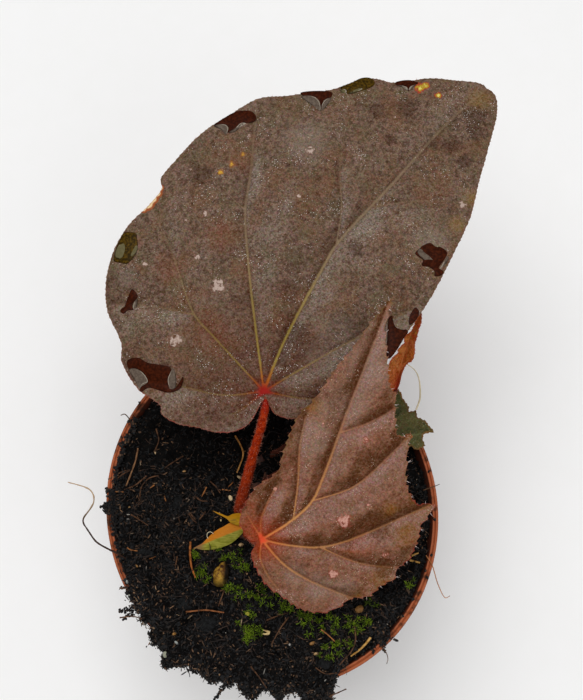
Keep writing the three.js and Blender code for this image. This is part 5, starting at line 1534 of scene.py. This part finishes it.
bpy.ops.object.select_all(action="DESELECT")
bpy.ops.mesh.primitive_torus_add(
    major_segments=40, minor_segments=10, major_radius=0.62 * MM, minor_radius=0.3 * MM)
seed_case = bpy.context.object
ring_points = corners_of(seed_case) * (2.35, 0.72, 1.0)
tilt = math.radians(-9)
move_corners(seed_case, np.column_stack([
    ring_points[:, 0] * math.cos(tilt) - ring_points[:, 1] * math.sin(tilt),
    ring_points[:, 0] * math.sin(tilt) + ring_points[:, 1] * math.cos(tilt), ring_points[:, 2]])
    + (-1.8, -31.4, peat_surface(-1.8, -31.4) + 0.45))
swell(seed_case, 0.15, 0.8, 3)
smooth_faces(seed_case, 60)
dress(seed_case, "seed_case", dry_finish("seed_case_skin", (150, 122, 76), (216, 190, 136)), "dry_fibre")

# Moss
# Bright green moss grows in little stars of pointed leaves on the damp peat in front.
MOSS = [
    (-18.1, -12.4), (-16.9, -15.3), (-17.1, -18.5), (-12.3, -11.4), (-10.7, -12.7), (-8.5, -13.7),
    (-6.4, -15.3), (-8.9, -15.7), (-10, -20.3), (-8.3, -21.3), (-4.7, -22.8), (-3.1, -22.7),
    (-.9, -23.5), (1.9, -24.3), (3.5, -25.4), (6.7, -26.7), (8.5, -27.5), (-5.4, -27.1), (-6.9, -30),
    (-5.4, -30.9), (-6.6, -32.4), (-4.6, -33.3), (-3.9, -31.9), (9.2, -29.9), (11.7, -30.1),
    (14.8, -29.2), (16.4, -30.4), (18, -32.9), (17.3, -34.4), (14.1, -35.6), (20.6, -28.2),
    (21.5, -30.7), (23.5, -28.5), (24.2, -23.4), (15.1, -39.8), (10, -26.9), (12.5, -27.8), (35.8, -20.2),
    (-2.4, -21.8), (5.1, -26.1)]
SHOOTS, SHOOT_LEAVES = 4, 15
shoot_places = []
for x, y in MOSS:
    for _ in range(SHOOTS):
        near_x, near_y = x + picks.normal(0, 1.1), y + picks.normal(0, 0.9)
        keep_in = min(1, (inner - 1.5) / math.hypot(near_x, near_y))
        near_x, near_y = near_x * keep_in, near_y * keep_in
        shoot_places.append((near_x, near_y, peat_surface(near_x, near_y) + 0.25))
shoot_places = np.repeat(np.array(shoot_places), SHOOT_LEAVES, axis=0)
leaf_count = len(shoot_places)
around = picks.uniform(0, 2 * math.pi, leaf_count)
pitch = np.radians(picks.uniform(12, 78, leaf_count))
point = np.column_stack([np.cos(around) * np.sin(pitch), np.sin(around) * np.sin(pitch), np.cos(pitch)])
bpy.ops.object.select_all(action="DESELECT")
bpy.ops.mesh.primitive_cone_add(vertices=4, radius1=MM, depth=MM, location=(0, 0, 0.5 * MM))
bpy.ops.object.transform_apply()
moss = copies("moss", bpy.context.object, aimed(
    point, picks.uniform(0.06, 0.11, leaf_count), picks.uniform(0.9, 1.7, leaf_count)), shoot_places,
    np.repeat(picks.random(leaf_count // SHOOT_LEAVES), SHOOT_LEAVES))
moss_finish = Finish("moss_green", Roughness=0.5, Specular_IOR_Level=0.3)
along_leaf = moss_finish.attribute("along")
moss_shade = moss_finish.blend(along_leaf.rise(0.1, 1.0), colour(14, 22, 3), colour(160, 194, 40))
moss_shade = moss_finish.blend(
    moss_finish.attribute("tone").rise(0.4, 1.0) * 0.7, moss_shade, colour(46, 66, 12))
moss_finish.feed(Base_Color=moss_finish.blend(
    moss_finish.grain(0.9).rise(0.55, 0.75) * 0.4, moss_shade, colour(136, 152, 50)))
dress(moss, "moss", moss_finish, "green_leaf")

# Crumbs and shreds of peat
# The top of the peat is loose: crumbs, shreds of bark and short roots lie every way on it and hang
# from its ragged front edge. More of them stick to the rim, in clods, in points and as dirt.
on_top = np.arange(len(top_x))
lit = np.clip(1.25 - smooth_step(-2, 14, top_y) * 0.9, 0.2, 1)
lit *= peat_radius < outer_edge - 0.2
for path, width in PRESSED:
    path = np.array(path, float)
    bare = nearest(np.column_stack([top_x, top_y]), path[:-1], path[1:])[0] < 0.75 * width
    lit = np.where(bare, 0.03 * lit, lit)
hanging = (spilled > 0.3) & (peat_radius > edge_radius - 2.5)
on_edge = hanging & (peat_radius > edge_radius - 0.6) & (edge_radius > RIM_RADIUS)
lit = np.where(hanging, np.where(on_edge, 6.0, 3.0), lit)


def strewn(count):
    """Random corners of the peat's top, more of them where it shows and along its ragged edge."""
    chosen = picks.choice(on_top, count, p=lit / lit.sum())
    places = peat_corners[chosen] + picks.uniform(-0.25, 0.25, (count, 3))
    out = places[:, :2] / np.linalg.norm(places[:, :2], axis=1)[:, None]
    stray = np.where(hanging[chosen], picks.exponential(0.3, count), 0)
    places[:, :2] += out * stray[:, None]
    places[:, 2] -= stray * 0.8 + np.where(on_edge[chosen], picks.uniform(0, 2.8, count), 0)
    return places


shred_count = 9600
level_way = picks.normal(size=(shred_count, 3)) * (1, 1, 0.35)
shreds_turn = aimed(level_way, picks.uniform(0.07, 0.19, shred_count), picks.uniform(0.3, 1.1, shred_count))
shreds = copies(
    "peat_shreds", lump_pattern(1, 0.18, 4), shreds_turn, strewn(shred_count), picks.random(shred_count))
crumb_count = 7600
crumb_tones = picks.random(crumb_count)
crumb_sizes = picks.uniform(0.12, 0.44, (crumb_count, 1)) * picks.uniform(0.5, 1.5, (crumb_count, 3))
crumb_sizes *= (1.1 - 0.5 * crumb_tones ** 3)[:, None]  # the lighter, the smaller
crumbs = copies("peat_crumbs", lump_pattern(1, 0.28, 7), tumbled(crumb_count, crumb_sizes, picks),
                strewn(crumb_count), crumb_tones)
CLODS = [  # middle, radii and number of crumbs
    ((-41.2, -0.6, 75.3), (2.0, 1.8, 1.0), 190), ((-41.2, 3.2, 75.0), (1.4, 1.3, 0.8), 90),
    ((-38.2, 0.6, 74.2), (2.4, 2.8, 0.9), 120),
    ((27.2, -31.8, 75.6), (2.0, 3.2, 1.5), 320)]
SPIKES = [  # where peat hangs together in points: root, tip, thickness at the root, number of crumbs
    ((-33.9, -21.0, 76.2), (-37.7, -20.6, 75.9), 0.8, 50),
    ((-32.6, -25.4, 76.6), (-37.5, -26.4, 75.9), 1.5, 130),
    ((-34.2, -26.8, 76.2), (-36.8, -28.4, 75.8), 0.7, 30),
    ((-9.8, -41.8, 77.4), (-13.6, -47.1, 75.8), 1.1, 110),
    ((-6.4, -43.6, 77.0), (-6.0, -47.0, 76.2), 0.7, 50),
    ((-6.0, -47.0, 76.2), (-4.2, -46.6, 76.4), 0.6, 36),
    ((-21.5, -38.8, 77.6), (-18.2, -41.2, 76.8), 0.9, 60),
    ((-24.8, -37.1, 78.0), (-26.2, -39.8, 77.0), 0.8, 56),
    ((26.8, -33.0, 75.5), (28.0, -36.4, 75.2), 0.7, 34),
    ((28.0, -32.4, 75.6), (31.2, -33.4, 75.4), 0.6, 30),
    ((25.4, -33.6, 75.4), (25.0, -36.6, 75.2), 0.6, 26),
    ((-40.6, 0.2, 75.4), (-43.6, -0.4, 75.2), 1.0, 60),
    ((-40.4, 3.0, 75.4), (-42.6, 4.4, 75.3), 0.7, 34)]
for bearing in np.radians(np.arange(150, 212, 1.1)):  # peat pushed up on the left of the lip
    lies_at = 41.5 + 0.5 * math.sin(bearing * 23) * math.sin(bearing * 61 + 1)
    place = [lies_at * math.cos(bearing), lies_at * math.sin(bearing), POT_HEIGHT + 0.15]
    CLODS.append((squeezed(np.array([place]))[0], (0.9, 0.8, 0.3), 13))
LIP_DIRT = [
    (32.4, -27.4), (34.9, -23.5), (20.7, -37.7), (24.3, -35.1), (22.6, -36.6), (40.3, 8.9), (41.0, -3.4),
    (40, -12.5), (38.6, -16.4), (38.9, -18.2), (37.2, 19.0), (-37.4, 21.8), (-39.0, 17.6), (-34.6, 26.8)]
for x, y in LIP_DIRT:
    CLODS.append(((x, y, POT_HEIGHT + 0.15), (0.35, 0.3, 0.1), 5))  # grains of dirt on the lip
clod_places, clod_sizes = [], []
for root, tip, thick, number in SPIKES:
    along = picks.random(number)[:, None]
    spread_out = picks.normal(size=(number, 3)) * thick * 0.5 * (1 - 0.75 * along)
    clod_places.append(np.array(root) * (1 - along) + np.array(tip) * along + spread_out)
    clod_sizes.append(picks.uniform(0.12, 0.34, (number, 1)) * picks.uniform(0.5, 1.5, (number, 3)))
for middle, radii, number in CLODS:
    ball = picks.normal(size=(number, 3))
    ball *= (picks.random(number) ** 0.4 / np.linalg.norm(ball, axis=1))[:, None]
    clod_places.append(ball * radii + middle)
    clod_sizes.append(picks.uniform(0.12, 0.38, (number, 1)) * picks.uniform(0.5, 1.5, (number, 3)))
clod_places, clod_sizes = np.vstack(clod_places), np.vstack(clod_sizes)
rim_clods = copies("rim_clods", lump_pattern(1, 0.2, 9), tumbled(len(clod_places), clod_sizes, picks),
                   clod_places, picks.random(len(clod_places)) * 0.95)
crumb_finish = Finish("peat_crumb", Roughness=0.6, Specular_IOR_Level=0.3)
tone = crumb_finish.attribute("tone")
speckle = crumb_finish.grain(0.5, 4.0, 0.6)
# The bluish grey crumbs and the lightest few are painted glints.
crumb_shade = crumb_finish.node("ShaderNodeValToRGB", {"stops": [
    (0.0, colour(3, 3, 4)), (0.50, colour(9, 9, 10)), (0.64, colour(34, 36, 38)), (0.68, colour(16, 13, 11)),
    (0.80, colour(50, 38, 29)), (0.91, colour(104, 76, 54)), (0.985, colour(138, 104, 74)),
    (0.993, colour(160, 134, 104)), (1.0, colour(182, 180, 174))]}, {0: tone}, out="Color")
patch = crumb_finish.grain(9.0, 3.0, shift=(3, 8, 0)).rise(0.46, 0.6)
crumb_shade = crumb_finish.blend(patch * 0.6, crumb_shade, colour(10, 10, 12))
crumb_finish.feed(
    Base_Color=crumb_finish.blend(speckle.rise(0.45, 0.7) * 0.6, crumb_shade, colour(8, 6, 6)),
    Roughness=0.45 + 0.45 * speckle, Normal=crumb_finish.relief(speckle, 0.25))
for piece in (shreds, crumbs, rim_clods):
    dress(piece, piece.name, crumb_finish, "peat")

ROOTLETS, ROOTLET_POINTS = 2000, 6
runs = []
for place in strewn(ROOTLETS):
    heading = picks.uniform(0, 2 * math.pi)
    long = picks.exponential(1.0) + 0.8
    path = [place + (0, 0, 0.1)]
    for _ in range(ROOTLET_POINTS - 1):
        heading += picks.normal(0, 0.28)
        way = np.array([math.cos(heading), math.sin(heading), picks.normal(0, 0.18)])
        path.append(path[-1] + way * long / ROOTLET_POINTS * 2)
    if max(np.hypot(p[0], p[1]) for p in path) > inner - 1.2:
        path = [place + (p - place) * 0.3 for p in path]
    radius = picks.uniform(0.06, 0.15)
    runs.append((np.array(path), radius, radius * 0.5))
rootlets = rods(runs, 4)
rootlet_finish = Finish("fine_root", Roughness=0.6)
speckle = rootlet_finish.grain(2.4, 2.0)
rootlet_finish.feed(
    Base_Color=rootlet_finish.node("ShaderNodeValToRGB", {"stops": [
        (0.40, colour(6, 5, 5)), (0.54, colour(30, 21, 16)), (0.64, colour(72, 50, 36)),
        (0.76, colour(120, 82, 54))]}, {0: speckle}, out="Color"),
    Roughness=0.4 + 0.4 * speckle)
dress(rootlets, "rootlets", rootlet_finish, "dry_fibre")
